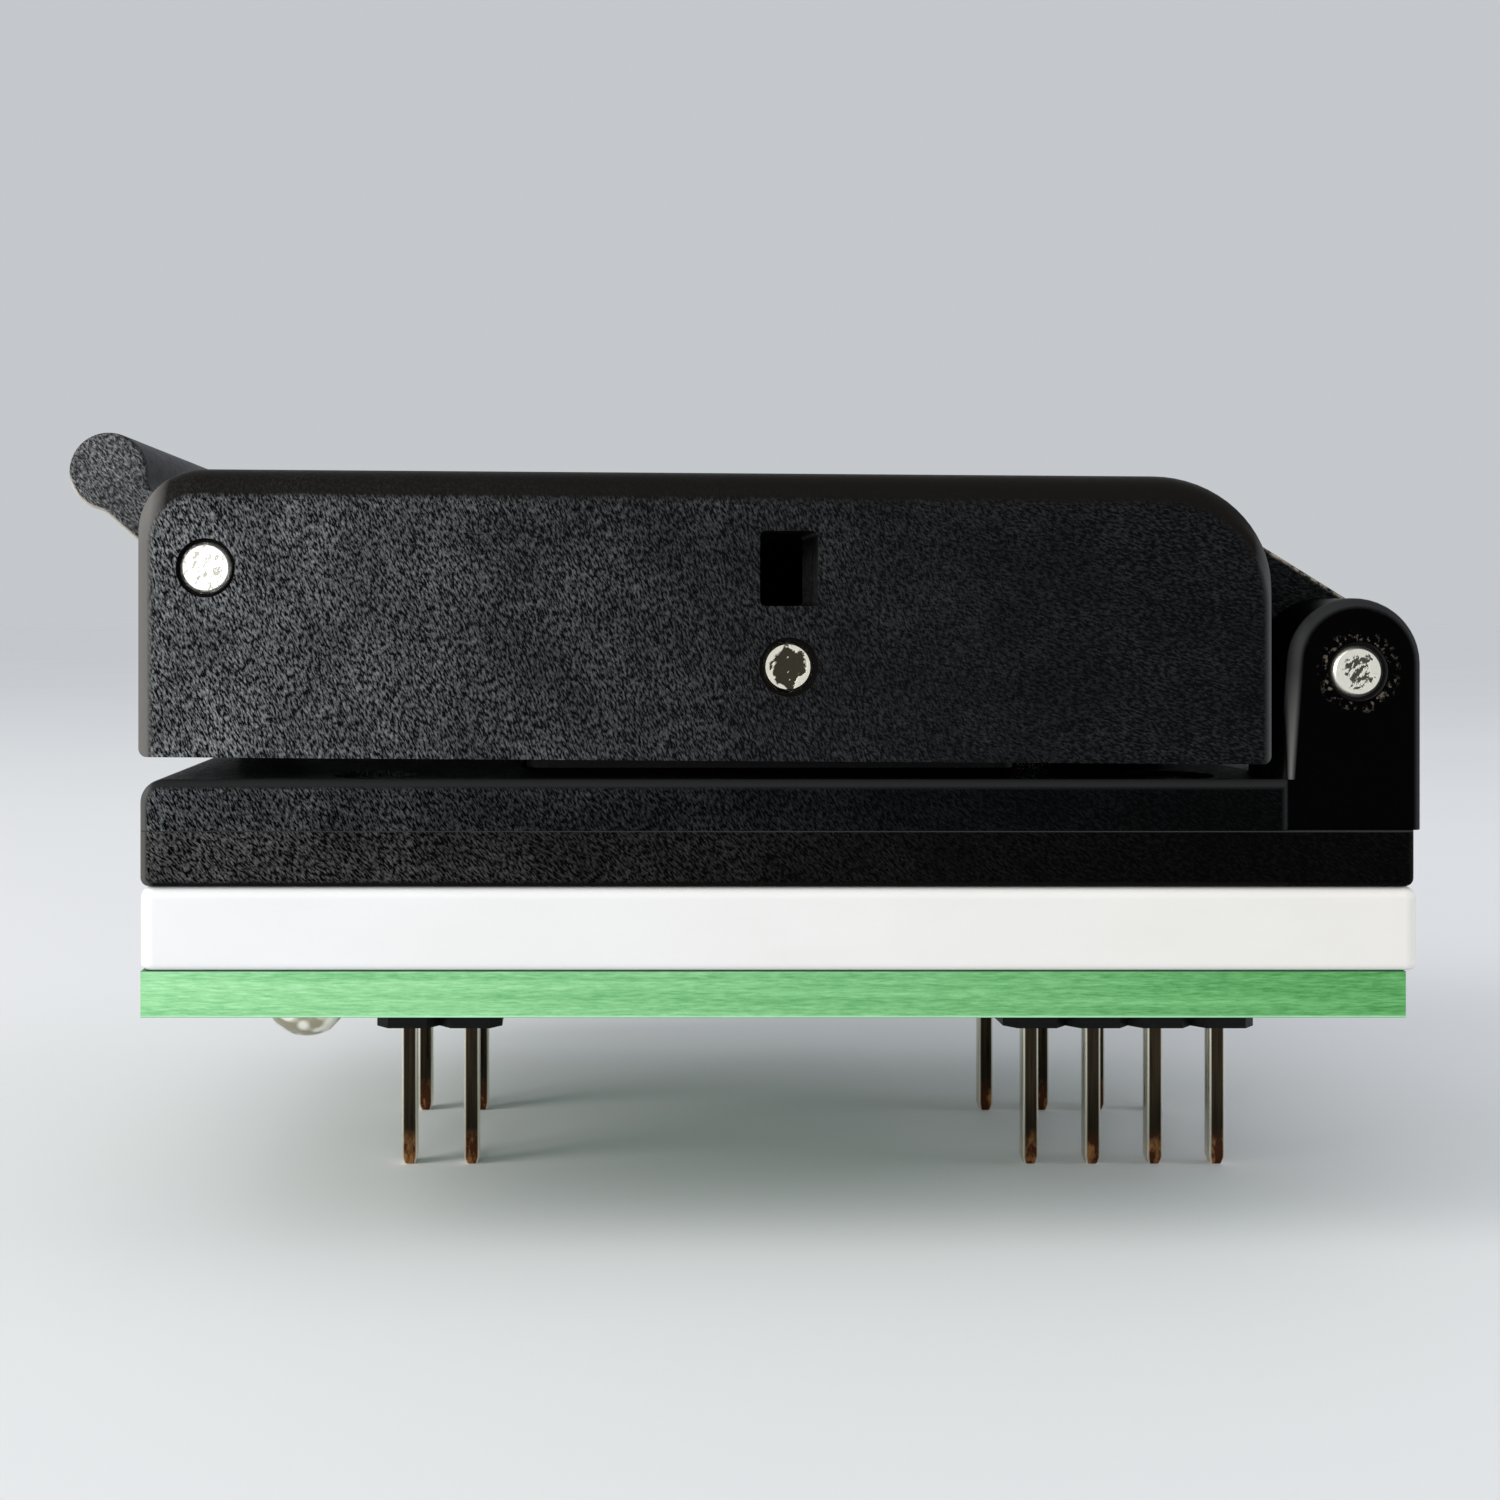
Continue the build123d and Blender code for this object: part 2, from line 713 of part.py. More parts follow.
# Lid: the hinge tongue first, then the shell with its slot for the lever and its cavity for the block
slope = math.radians(tongue_slope)
tongue_touch = (hinge_x + tongue_radius * math.sin(slope), hinge_z + tongue_radius * math.cos(slope))
tongue_run = (lid_top_hinge - tongue_touch[1]) / math.tan(slope)
tongue_head = (tongue_touch[0] - tongue_run, lid_top_hinge)
tongue_foot = (hinge_x, hinge_z - tongue_radius)
tongue_nose = (hinge_x + tongue_radius, hinge_z)
with BuildPart() as lid_shell:
    with BuildSketch(side(tongue_half)):
        with BuildLine():
            Line(tongue_head, tongue_touch)
            ThreePointArc(tongue_touch, tongue_nose, tongue_foot)
            Line(tongue_foot, (tongue_head[0], tongue_foot[1]))
            Line((tongue_head[0], tongue_foot[1]), tongue_head)
        make_face()
    extrude(amount=2 * tongue_half)
    tongue_rim = on_depths(lid_shell, tongue_half).filter_by(
        lambda edge: edge.center().X > socket_x + lid_hinge_x - side_clearance
        or edge.center().Z > hinge_z + tongue_radius
    )
    fillet(tongue_rim, tongue_edge_round)
    add(lid_body.part & lid_round.part)
    with BuildSketch(level(lid_bottom_hinge - lid_gap_hinge)):
        with Locations((lid_latch_x - lid_edge_round, 0)):
            Rectangle(slot_wall_x - lid_latch_x + lid_edge_round, 2 * slot_half, align=from_left)
    extrude(amount=lid_top - base_top + lid_edge_round, mode=Mode.SUBTRACT)
    with BuildSketch(level(lid_bottom_hinge - lid_gap_hinge)):
        with Locations((cavity_latch_x, 0)):
            Rectangle(cavity_hinge_x - cavity_latch_x, 2 * cavity_half, align=from_left)
    extrude(amount=cavity_roof - base_top, mode=Mode.SUBTRACT)
    with BuildSketch(side(side_y)):
        with Locations((chip_offset, cross_pin_z + window_rise)):
            RectangleRounded(window_length, window_height, window_corner)
        with Locations((latch_x, latch_z), (chip_offset, cross_pin_z)):
            Circle(shaft_radius)
    extrude(amount=socket_width, mode=Mode.SUBTRACT)
    for depth in (side_y, shaft_mouth_depth - side_y):
        with BuildSketch(side(depth)):
            with Locations((latch_x, latch_z), (chip_offset, cross_pin_z)):
                Circle(mouth_radius)
        extrude(amount=shaft_mouth_depth, mode=Mode.SUBTRACT)
    with BuildSketch(side(tongue_half)):
        with Locations((hinge_x, hinge_z)):
            Circle(bore_radius)
    extrude(amount=2 * tongue_half, mode=Mode.SUBTRACT)
    for depth in (-lid_spring_place, lid_spring_place):
        with BuildSketch(level(base_top)):
            with Locations((lid_hinge_x + lid_slot_wall, depth)):
                Rectangle(2 * tongue_radius + lid_hinge_gap, lid_spring_slot, align=from_left)
        extrude(amount=lid_top - base_top, mode=Mode.SUBTRACT)
        with BuildSketch(Plane(origin=(socket_x + hinge_x, depth, hinge_z - lid_spring_radius))):
            Rectangle(2 * (lid_spring_leg + lid_leg_clearance), lid_spring_slot)
        extrude(amount=lid_spring_wire / 2 + lid_leg_clearance, both=True, mode=Mode.SUBTRACT)
    with BuildSketch(Plane(origin=(socket_x + slot_wall_x, 0, latch_spring_z), z_dir=(1, 0, 0))):
        Circle(latch_pocket_radius)
    extrude(amount=latch_pocket_depth, mode=Mode.SUBTRACT)
save(lid_shell.part, "lid_shell")

# Pressure block on the cross pin, with a boss at each end, and the pad that meets the chip
with BuildPart() as pressure_block:
    with BuildSketch(level(pad_top)):
        with Locations((chip_offset, 0)):
            Rectangle(pad_length + 2 * block_margin, pad_width + 2 * block_margin)
    extrude(amount=block_height)
    chamfer(pressure_block.faces().sort_by(Axis.Z)[-1].edges(), block_chamfer)
    boss_half = cavity_half - boss_clearance
    with BuildSketch(side(boss_half)):
        with Locations((chip_offset, cross_pin_z)):
            Circle(boss_radius)
    extrude(amount=2 * boss_half)
    with BuildSketch(side(boss_half)):
        with Locations((chip_offset, cross_pin_z)):
            Circle(bore_radius)
    extrude(amount=2 * boss_half, mode=Mode.SUBTRACT)
save(pressure_block.part, "pressure_block")

with BuildPart() as pressure_pad:
    with BuildSketch(level(pad_bottom)):
        with Locations((chip_offset, 0)):
            Rectangle(pad_length, pad_width)
    extrude(amount=pad_height)
    chamfer(pressure_pad.faces().sort_by(Axis.Z)[0].edges(), pad_chamfer)
save(pressure_pad.part, "pressure_pad")

# Latch lever: a round bar on a neck, the hub, a plate down to the base and the hook under the ledge
neck_turn = math.radians(neck_angle)
neck_foot = (bar_x - neck_offset * math.sin(neck_turn), bar_z - neck_offset * math.cos(neck_turn))
neck_end = (plate_x, neck_foot[1] - (plate_x - neck_foot[0]) * math.tan(neck_turn))
neck_reach = math.sqrt(bar_radius**2 - neck_offset**2)
neck_kink_x = neck_foot[0] + neck_reach * math.cos(neck_turn)
neck_kink_z = neck_foot[1] - neck_reach * math.sin(neck_turn)
neck_shoulder = (bar_x + bar_radius, bar_z - neck_drop)
hub_touch = tangent_point((latch_x, latch_z), hub_radius, neck_shoulder)
with BuildPart() as latch_lever:
    with BuildSketch(side(lever_half)) as lever_outline:
        with Locations((bar_x, bar_z)):
            Circle(bar_radius)
        with Locations((latch_x, latch_z)):
            Circle(hub_radius)
        Polygon(
            neck_foot,
            neck_end,
            (latch_x, latch_z),
            hub_touch,
            neck_shoulder,
            (bar_x + bar_radius, bar_z),
            align=None,
        )
        with Locations((plate_x, latch_z)):
            Rectangle(plate_thickness, plate_drop, align=(Align.MIN, Align.MAX))
        fillet(corner(lever_outline, *neck_shoulder), neck_blend)
        fillet(corner(lever_outline, neck_kink_x, neck_kink_z), neck_foot_blend)
    extrude(amount=lever_width)
    fillet(on_depths(latch_lever, lever_half), lever_edge_round)
    with BuildSketch(side(hook_width / 2)):
        Polygon(
            (plate_x + plate_thickness / 2, plate_bottom + 2 * hook_gusset),
            (plate_back_x, plate_bottom + 2 * hook_gusset),
            (hook_back_x, plate_bottom + hook_gusset),
            (hook_back_x, hook_bottom),
            (hook_front_x, hook_bottom),
            (nose_x, hook_bottom + hook_ramp),
            (nose_x, hook_top),
            (hook_front_x, hook_top),
            (hook_front_x, plate_bottom),
            (plate_x + plate_thickness / 2, plate_bottom),
            align=None,
        )
    extrude(amount=hook_width)
    with BuildSketch(side(lever_half)):
        with Locations((latch_x, latch_z)):
            Circle(bore_radius)
    extrude(amount=lever_width, mode=Mode.SUBTRACT)
save(latch_lever.part, "latch_lever")

# Latch spring, from the lid's wall to the lever's plate
latch_coil_start = plate_back_x + latch_spring_wire / 2
latch_coil_length = latch_spring_end - latch_spring_wire / 2 - latch_coil_start
with BuildPart() as latch_coil:
    with BuildLine() as coil:
        Helix(
            pitch=latch_coil_length / latch_spring_turns,
            height=latch_coil_length,
            radius=latch_spring_radius,
            center=(socket_x + latch_coil_start, 0, latch_spring_z),
            direction=(1, 0, 0),
        )
    with BuildSketch(Plane(origin=coil.line @ 0, z_dir=coil.line % 0)):
        Circle(latch_spring_wire / 2)
    sweep(path=coil.line, is_frenet=True)
save(latch_coil.part, "latch_spring")

# Torsion springs on the hinge pin: a coil with one leg under the lid and one down on the base
lid_coil_length = lid_spring_pitch * lid_spring_turns
with BuildPart() as lid_coils:
    for middle in (-lid_spring_place, lid_spring_place):
        coil_plane = Plane(
            origin=(socket_x + hinge_x, middle + lid_coil_length / 2, hinge_z),
            x_dir=(0, 0, -1),
            z_dir=(0, -1, 0),
        )
        turns = coil_plane * Helix(
            pitch=lid_spring_pitch,
            height=lid_coil_length,
            radius=lid_spring_radius,
            mode=Mode.PRIVATE,
        )
        base_leg = hinge_z - base_top - lid_spring_wire / 2
        with BuildLine() as spring_path:
            Line(turns @ 0 - (turns % 0) * lid_spring_leg, turns @ 0)
            add(turns)
            Line(turns @ 1, turns @ 1 + (turns % 1) * base_leg)
        with BuildSketch(Plane(origin=spring_path.line @ 0, z_dir=spring_path.line % 0)):
            Circle(lid_spring_wire / 2)
        sweep(path=spring_path.line, is_frenet=True)
save(lid_coils.part, "lid_springs")
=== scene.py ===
import math

import bpy
import numpy as np
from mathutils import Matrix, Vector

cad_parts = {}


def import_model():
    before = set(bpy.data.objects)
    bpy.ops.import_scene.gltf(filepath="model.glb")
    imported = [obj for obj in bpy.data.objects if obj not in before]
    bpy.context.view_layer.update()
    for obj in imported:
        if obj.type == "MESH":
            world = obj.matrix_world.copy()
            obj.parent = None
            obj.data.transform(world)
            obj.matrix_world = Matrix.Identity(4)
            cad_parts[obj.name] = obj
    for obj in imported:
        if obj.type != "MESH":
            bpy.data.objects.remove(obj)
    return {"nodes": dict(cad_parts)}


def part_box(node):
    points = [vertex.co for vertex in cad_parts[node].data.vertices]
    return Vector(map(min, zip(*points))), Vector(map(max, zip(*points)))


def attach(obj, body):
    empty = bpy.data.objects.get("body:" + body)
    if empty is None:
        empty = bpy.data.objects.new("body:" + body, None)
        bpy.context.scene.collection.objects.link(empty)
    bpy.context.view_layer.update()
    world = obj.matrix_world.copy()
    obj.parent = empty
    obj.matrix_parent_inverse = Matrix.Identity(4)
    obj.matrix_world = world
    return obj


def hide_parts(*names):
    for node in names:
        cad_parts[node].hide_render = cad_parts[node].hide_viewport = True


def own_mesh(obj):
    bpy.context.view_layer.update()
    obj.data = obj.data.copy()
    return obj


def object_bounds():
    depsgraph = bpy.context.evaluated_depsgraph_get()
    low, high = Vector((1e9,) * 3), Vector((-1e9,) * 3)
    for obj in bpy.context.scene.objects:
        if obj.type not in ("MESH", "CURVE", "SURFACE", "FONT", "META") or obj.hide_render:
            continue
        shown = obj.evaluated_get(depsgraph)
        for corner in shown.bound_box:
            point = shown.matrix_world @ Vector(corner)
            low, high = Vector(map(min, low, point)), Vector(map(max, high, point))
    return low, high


# A clamshell chip socket on its adapter board, closed and latched, standing on its header pins.
# Everything is in metres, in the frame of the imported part: X from latch to hinge, Y to the rear, Z up.

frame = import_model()
cad_box = [list(corner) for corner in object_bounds()]
nodes = frame["nodes"]

MM = 0.001
AROUND = 2 * math.pi
X_AXIS = 0
Z_AXIS = 2
NOISE_LOW = 0.3
NOISE_HIGH = 0.7


def shaft_middle(node):
    """The middle of a shaft along Y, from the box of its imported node."""
    low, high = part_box(node)
    return ((low.x + high.x) / 2, 0, (low.z + high.z) / 2)


# Places on the part: those that a node's box gives, then those inside a node
socket_low, socket_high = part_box("socket_upper")
lid_low, lid_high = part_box("lid_shell")
board_low, board_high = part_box("circuit_board")
lever_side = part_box("latch_lever")[1].y
latch_shaft = shaft_middle("latch_pin")
cross_shaft = shaft_middle("lid_cross_pin")
hinge_shaft = shaft_middle("hinge_pin")
wall_end = 14.99 * MM
wall_top = 10.96 * MM
post_side = 14.75 * MM
tongue_start = 14.45 * MM
tongue_side = 11.3 * MM
seam_height = 9.21 * MM
neck_lean_degrees = 40


class Finish:
    """A material on Object coordinates. Each method adds nodes and gives back the socket to use next."""

    def __init__(self, name, values):
        self.material = bpy.data.materials.new(name)
        self.material.use_nodes = True
        self.nodes = self.material.node_tree.nodes
        self.links = self.material.node_tree.links
        self.shader = self.nodes["Principled BSDF"]
        self.place = self.nodes.new("ShaderNodeTexCoord").outputs["Object"]
        for socket, value in values.items():
            self.shader.inputs[socket].default_value = value

    def feed(self, socket, source):
        """Drive one of the shader's sockets."""
        self.links.new(source, self.shader.inputs[socket])

    def laid(self, stretch=(1, 1, 1), turn=(0, 0, 0), middle=(0, 0, 0)):
        """Object coordinates from a middle, turned by degrees and squeezed along each axis."""
        mapping = self.nodes.new("ShaderNodeMapping")
        mapping.vector_type = "TEXTURE"
        mapping.inputs["Location"].default_value = middle
        mapping.inputs["Rotation"].default_value = [math.radians(angle) for angle in turn]
        mapping.inputs["Scale"].default_value = stretch
        self.links.new(self.place, mapping.inputs["Vector"])
        return mapping.outputs["Vector"]

    def noise(self, grain, place=None, detail=2.0, roughness=0.5, swirl=0.0):
        """Cloudy noise with lumps about one grain across."""
        node = self.nodes.new("ShaderNodeTexNoise")
        node.inputs["Scale"].default_value = 1 / grain
        node.inputs["Detail"].default_value = detail
        node.inputs["Roughness"].default_value = roughness
        node.inputs["Distortion"].default_value = swirl
        self.links.new(place or self.place, node.inputs["Vector"])
        return node.outputs[0]

    def cells(self, grain, feature="F1"):
        """Distance inside cells about one grain across."""
        node = self.nodes.new("ShaderNodeTexVoronoi")
        node.feature = feature
        node.inputs["Scale"].default_value = 1 / grain
        self.links.new(self.place, node.inputs["Vector"])
        return node.outputs["Distance"]

    def span(self, source, low, high, start=0.0, end=1.0):
        """The source between low and high, spread from start to end and held there outside."""
        node = self.nodes.new("ShaderNodeMapRange")
        node.inputs["From Min"].default_value = low
        node.inputs["From Max"].default_value = high
        node.inputs["To Min"].default_value = start
        node.inputs["To Max"].default_value = end
        self.links.new(source, node.inputs["Value"])
        return node.outputs["Result"]

    def fall(self, source, low, high):
        """1 where the source is below low, and 0 where it is above high."""
        return self.span(source, low, high, 1, 0)

    def between(self, factor, start, end):
        """A value from start to end as the factor goes from 0 to 1."""
        return self.span(factor, 0, 1, start, end)

    def spread(self, noise, start=0.0, end=1.0):
        """Noise, over the range that it mostly keeps to, spread from start to end."""
        return self.span(noise, NOISE_LOW, NOISE_HIGH, start, end)

    def combine(self, operation, first, second=None):
        """Arithmetic on two sources, on a source and a number, or on one source."""
        node = self.nodes.new("ShaderNodeMath")
        node.operation = operation
        for socket, source in zip(node.inputs, (first, second)):
            if isinstance(source, (int, float)):
                socket.default_value = source
            elif source is not None:
                self.links.new(source, socket)
        return node.outputs["Value"]

    def product(self, *sources):
        """The sources multiplied together."""
        result = sources[0]
        for source in sources[1:]:
            result = self.combine("MULTIPLY", result, source)
        return result

    def tint(self, factor, first, second):
        """A colour from first to second as the factor goes from 0 to 1."""
        node = self.nodes.new("ShaderNodeMix")
        node.data_type = "RGBA"
        self.links.new(factor, node.inputs["Factor"])
        for socket, source in zip([s for s in node.inputs if s.type == "RGBA"], (first, second)):
            if isinstance(source, tuple):
                socket.default_value = (*source, 1)
            else:
                self.links.new(source, socket)
        return [s for s in node.outputs if s.type == "RGBA"][0]

    def blend(self, factor, first, second):
        """A value from first to second as the factor goes from 0 to 1."""
        node = self.nodes.new("ShaderNodeMix")
        for socket, source in zip(node.inputs[:4], (factor, None, first, second)):
            if source is not None:
                self.links.new(source, socket)
        return node.outputs[0]

    def along(self, axis, place=None):
        """The coordinate along X, Y or Z."""
        node = self.nodes.new("ShaderNodeSeparateXYZ")
        self.links.new(place or self.place, node.inputs["Vector"])
        return node.outputs[axis]

    def from_shaft(self, middle, narrow=1.0):
        """Distance from a line along Y through the middle, with X counted larger if narrow is under 1."""
        place = self.laid((narrow, 1, 1), middle=middle)
        square_x = self.combine("POWER", self.combine("ABSOLUTE", self.along("X", place)), 2)
        square_z = self.combine("POWER", self.combine("ABSOLUTE", self.along("Z", place)), 2)
        return self.combine("SQRT", self.combine("ADD", square_x, square_z))

    def relief(self, height, depth):
        """Bumps as deep as the height times the depth."""
        node = self.nodes.new("ShaderNodeBump")
        node.inputs["Distance"].default_value = depth
        self.links.new(height, node.inputs["Height"])
        return node.outputs["Normal"]


def glass_filled_plastic(name, body, fleck, turns, gloss, far_flecks, smooth, painted_highlights):
    """Black moulding with short light fibres in its skin, which turn towards the hinge end and fade there
    as painted shade, darker away from the light at the latch end. Smooth is a polished zone without them
    and its colour, which on the lid's rim and the lever's bar is a painted reflection and on the lower
    part's rim a painted highlight. The last argument gives zones painted lighter as highlights and glints,
    with their colours."""
    fibre_grain = 0.16 * MM
    fibre_stretch = (0.42, 0.42, 1.15)
    fibre_breaks = 0.65
    turn_starts = 0.45
    turn_ends = 0.8
    fleck_starts = 0.43
    fleck_full = 0.71
    pebble_grain = 0.3 * MM
    pebble_share = 0.5
    pebble_rough = (0.36, 0.5)
    cloud_grain = 2.6 * MM
    cloud_low = 0.35
    cloud_high = 0.65
    cloud_shade = 0.6
    far_end = 0.15
    falloff_power = 3.8
    smooth_flecks = 0.05
    smooth_rough = 0.8
    skin_depth = 0.045 * MM
    finish = Finish(name, {"Specular IOR Level": gloss})
    toward_hinge = finish.span(finish.along("X"), socket_low.x, socket_high.x)
    near_latch, near_hinge = [
        finish.noise(fibre_grain, finish.laid(fibre_stretch, (0, turn, 0)), roughness=fibre_breaks)
        for turn in turns
    ]
    turned = finish.span(toward_hinge, turn_starts, turn_ends)
    fibres = finish.blend(turned, near_latch, near_hinge)
    pebbles = finish.noise(pebble_grain, detail=3.0, roughness=fibre_breaks)
    skin = finish.combine("ADD", fibres, finish.product(pebbles, pebble_share))
    flecks = finish.span(fibres, fleck_starts, fleck_full)
    clouds = finish.span(finish.noise(cloud_grain), cloud_low, cloud_high, cloud_shade)
    # Painted shade: the flecks fade towards the hinge end, away from the light at the latch end
    near = finish.combine("POWER", finish.between(toward_hinge, 1, far_end), falloff_power)
    painted_shade = finish.combine("ADD", near, finish.product(toward_hinge, far_flecks))
    smooth_zone, smooth_body = smooth
    zone = smooth_zone(finish)
    kept = finish.between(zone, 1, smooth_flecks)
    lit = finish.product(flecks, clouds, painted_shade, kept)
    color = finish.tint(lit, finish.tint(zone, body, smooth_body), fleck)
    # Painted highlights: zones tinted lighter where rims and corners catch the light
    for highlight_zone, highlight_color in painted_highlights:
        color = finish.tint(highlight_zone(finish), color, highlight_color)
    rough = finish.product(finish.spread(pebbles, *pebble_rough), finish.between(zone, 1, smooth_rough))
    finish.feed("Base Color", color)
    finish.feed("Roughness", rough)
    finish.feed("Normal", finish.relief(finish.product(skin, kept), skin_depth))
    return finish.material


def rim_zone(side, width):
    """Gives the zone of a rounded rim: within a width of the side faces, but not on them."""
    outer_fade = 0.05 * MM
    face_skin = 0.004 * MM
    inner_fade = 0.1 * MM

    def zone(finish):
        across = finish.combine("ABSOLUTE", finish.along("Y"))
        inside = finish.fall(across, side - outer_fade, side - face_skin)
        outside = finish.span(across, side - width - inner_fade, side - width)
        return finish.product(inside, outside)
    return zone


def both(*zones):
    """Gives the zone where all of some zones meet."""
    def zone(finish):
        return finish.product(*[part(finish) for part in zones])
    return zone


def beyond(axis, low, high):
    """Gives the zone above high along an axis, which fades in from low."""
    def zone(finish):
        return finish.span(finish.along(axis), low, high)
    return zone


def before(axis, low, high, end=0.0):
    """Gives the zone below low along an axis, which fades to the end at high."""
    def zone(finish):
        return finish.span(finish.along(axis), low, high, 1, end)
    return zone


def speckle(grain, low, high):
    """Gives the zone of bright specks about one grain across."""
    def zone(finish):
        return finish.span(finish.noise(grain, detail=3.0, roughness=0.7), low, high)
    return zone


def post_zone(finish):
    """The hinge posts, from the wall's end to the hinge end, and the rounded rim of the wall."""
    half_step = 0.02 * MM
    post = finish.span(finish.along("X"), wall_end - half_step, wall_end + half_step)
    return finish.combine("MAXIMUM", post, rim_zone(socket_high.y, wall_rim_width)(finish))


def hinge_ring(finish):
    """A ring on the post round the hinge pin's hole."""
    ring_starts = 1.05 * MM
    ring_full = 1.12 * MM
    ring_fades = 1.2 * MM
    ring_ends = 1.5 * MM
    away = finish.from_shaft(hinge_shaft)
    inner = finish.span(away, ring_starts, ring_full)
    outer = finish.fall(away, ring_fades, ring_ends)
    return finish.product(inner, outer)


def bar_zone(finish):
    """The lever away from its two end faces."""
    bar_fades = 0.15 * MM
    bar_ends = 0.02 * MM
    across = finish.combine("ABSOLUTE", finish.along("Y"))
    return finish.fall(across, lever_side - bar_fades, lever_side - bar_ends)


def neck_underside(finish):
    """The side of the lever's neck that faces away from the lid, below the line from the pin to the bar."""
    neck_half = 1.2 * MM
    neck_blur = 0.3 * MM
    pin_below = 0.6 * MM
    pin_above = 0.2 * MM
    place = finish.laid(turn=(0, neck_lean_degrees, 0), middle=latch_shaft)
    below = finish.fall(finish.along("Z", place), -neck_half, neck_blur - neck_half)
    pin_height = latch_shaft[Z_AXIS]
    above_pin = finish.span(finish.along("Z"), pin_height - pin_below, pin_height + pin_above)
    return finish.product(below, above_pin)


def white_plastic():
    """Fine matte white moulding with faint handling marks, painted a little darker and warmer towards the
    hinge end as shade.
    """
    smear_grain = 2.2 * MM
    smear_stretch = (2.5, 1, 1)
    smear_low = 0.35
    smear_high = 0.75
    fine_grain = 0.12 * MM
    fine_depth = 0.004 * MM
    finish = Finish("spacer_white", {"Specular IOR Level": 0.4})
    toward_hinge = finish.span(finish.along("X"), socket_low.x, socket_high.x)
    smears = finish.noise(smear_grain, finish.laid(smear_stretch), detail=4.0, roughness=0.6)
    marks = finish.span(smears, smear_low, smear_high)
    fine = finish.noise(fine_grain, detail=3.0)
    # Painted shade: both tones grow darker and warmer towards the hinge end, away from the light at the
    # latch end
    clean = finish.tint(toward_hinge, (0.775, 0.785, 0.795), (0.75, 0.735, 0.7))
    handled = finish.tint(toward_hinge, (0.75, 0.755, 0.76), (0.72, 0.705, 0.67))
    finish.feed("Base Color", finish.tint(marks, clean, handled))
    finish.feed("Roughness", finish.between(marks, 0.42, 0.56))
    finish.feed("Normal", finish.relief(fine, fine_depth))
    return finish.material


def board_laminate():
    """Green board: glass bundles along its cut edge, and solder mask on its two faces. The cut edge's resin
    is painted darker towards the hinge end as shade.
    """
    bundle_grain = 0.07 * MM
    bundle_stretch = (9, 9, 1)
    ply_grain = 0.35 * MM
    ply_stretch = (30, 30, 0.8)
    ply_share = 0.5
    painted_shade_curve = 0.8
    mottle_grain = 4 * MM
    fibre_depth = 0.007 * MM
    mask_thickness = 0.02 * MM
    burr_full = 0.04 * MM
    burr_height = 0.09 * MM
    burr_share = 0.55
    finish = Finish("board_laminate", {"Specular IOR Level": 0.35})
    height = finish.along("Z")
    over_bottom = finish.span(height, board_low.z, board_low.z + mask_thickness)
    under_top = finish.fall(height, board_high.z - mask_thickness, board_high.z)
    edge = finish.product(over_bottom, under_top)
    along_board = finish.span(finish.along("X"), board_low.x, board_high.x)
    # Painted shade: the cut edge's resin darkens towards the hinge end, away from the light at the latch
    # end
    toward_hinge = finish.combine("POWER", along_board, painted_shade_curve)
    bundles = finish.noise(bundle_grain, finish.laid(bundle_stretch), detail=3.0, roughness=0.7)
    plies = finish.product(finish.noise(ply_grain, finish.laid(ply_stretch)), ply_share)
    strands = finish.span(finish.combine("ADD", bundles, plies), 0.5, 1.0)
    dark_resin = finish.tint(toward_hinge, (0.17, 0.5, 0.2), (0.03, 0.21, 0.037))
    light_resin = finish.tint(toward_hinge, (0.42, 0.8, 0.44), (0.145, 0.44, 0.15))
    resin = finish.tint(strands, dark_resin, light_resin)
    burr = finish.fall(height, board_low.z + burr_full, board_low.z + burr_height)
    cut = finish.tint(finish.product(burr, burr_share), resin, (0.5, 0.82, 0.58))
    mottle = finish.spread(finish.noise(mottle_grain))
    mask = finish.tint(mottle, (0.01, 0.11, 0.035), (0.016, 0.145, 0.05))
    fibre_ends = finish.product(edge, bundles)
    finish.feed("Base Color", finish.tint(edge, mask, cut))
    finish.feed("Roughness", finish.span(fibre_ends, 0, 0.7, 0.3, 0.6))
    finish.feed("Normal", finish.relief(fibre_ends, fibre_depth))
    return finish.material


def header_gold():
    """Thin gold on square wire: its flat faces painted dark brown as the dark that they reflect, a painted
    highlight on its rounded corners, and coppery towards the tips.
    """
    patch_grain = 0.5 * MM
    patch_stretch = (1, 1, 2.2)
    streak_grain = 0.06 * MM
    streak_stretch = (1, 1, 40)
    streak_depth = 0.0012 * MM
    copper_below = -5.1 * MM
    dark_flat_above = -4.3 * MM
    finish = Finish("header_gold", {"Metallic": 1.0})
    tip = finish.fall(finish.along("Z"), copper_below, dark_flat_above)
    patches = finish.noise(patch_grain, finish.laid(patch_stretch), detail=3.0, roughness=0.6)
    streaks = finish.spread(finish.noise(streak_grain, finish.laid(streak_stretch)))
    # Painted shade: the flat faces painted dark brown as the dark that they reflect
    painted_dark_flat = finish.tint(streaks, (0.019, 0.0145, 0.0095), (0.04, 0.03, 0.019))
    copper = finish.tint(finish.span(patches, 0.48, 0.6), (0.09, 0.03, 0.015), (0.42, 0.2, 0.08))
    flat = finish.tint(tip, painted_dark_flat, copper)
    # Painted highlight: bright cream on the rounded corners, weighted by a point attribute on the pin wires
    painted_glint = finish.nodes.new("ShaderNodeAttribute")
    painted_glint.attribute_name = "painted_glint"
    finish.feed("Base Color", finish.tint(painted_glint.outputs["Fac"], flat, (1.0, 0.94, 0.78)))
    finish.feed("Roughness", finish.between(streaks, 0.1, 0.17))
    finish.feed("Normal", finish.relief(streaks, streak_depth))
    return finish.material


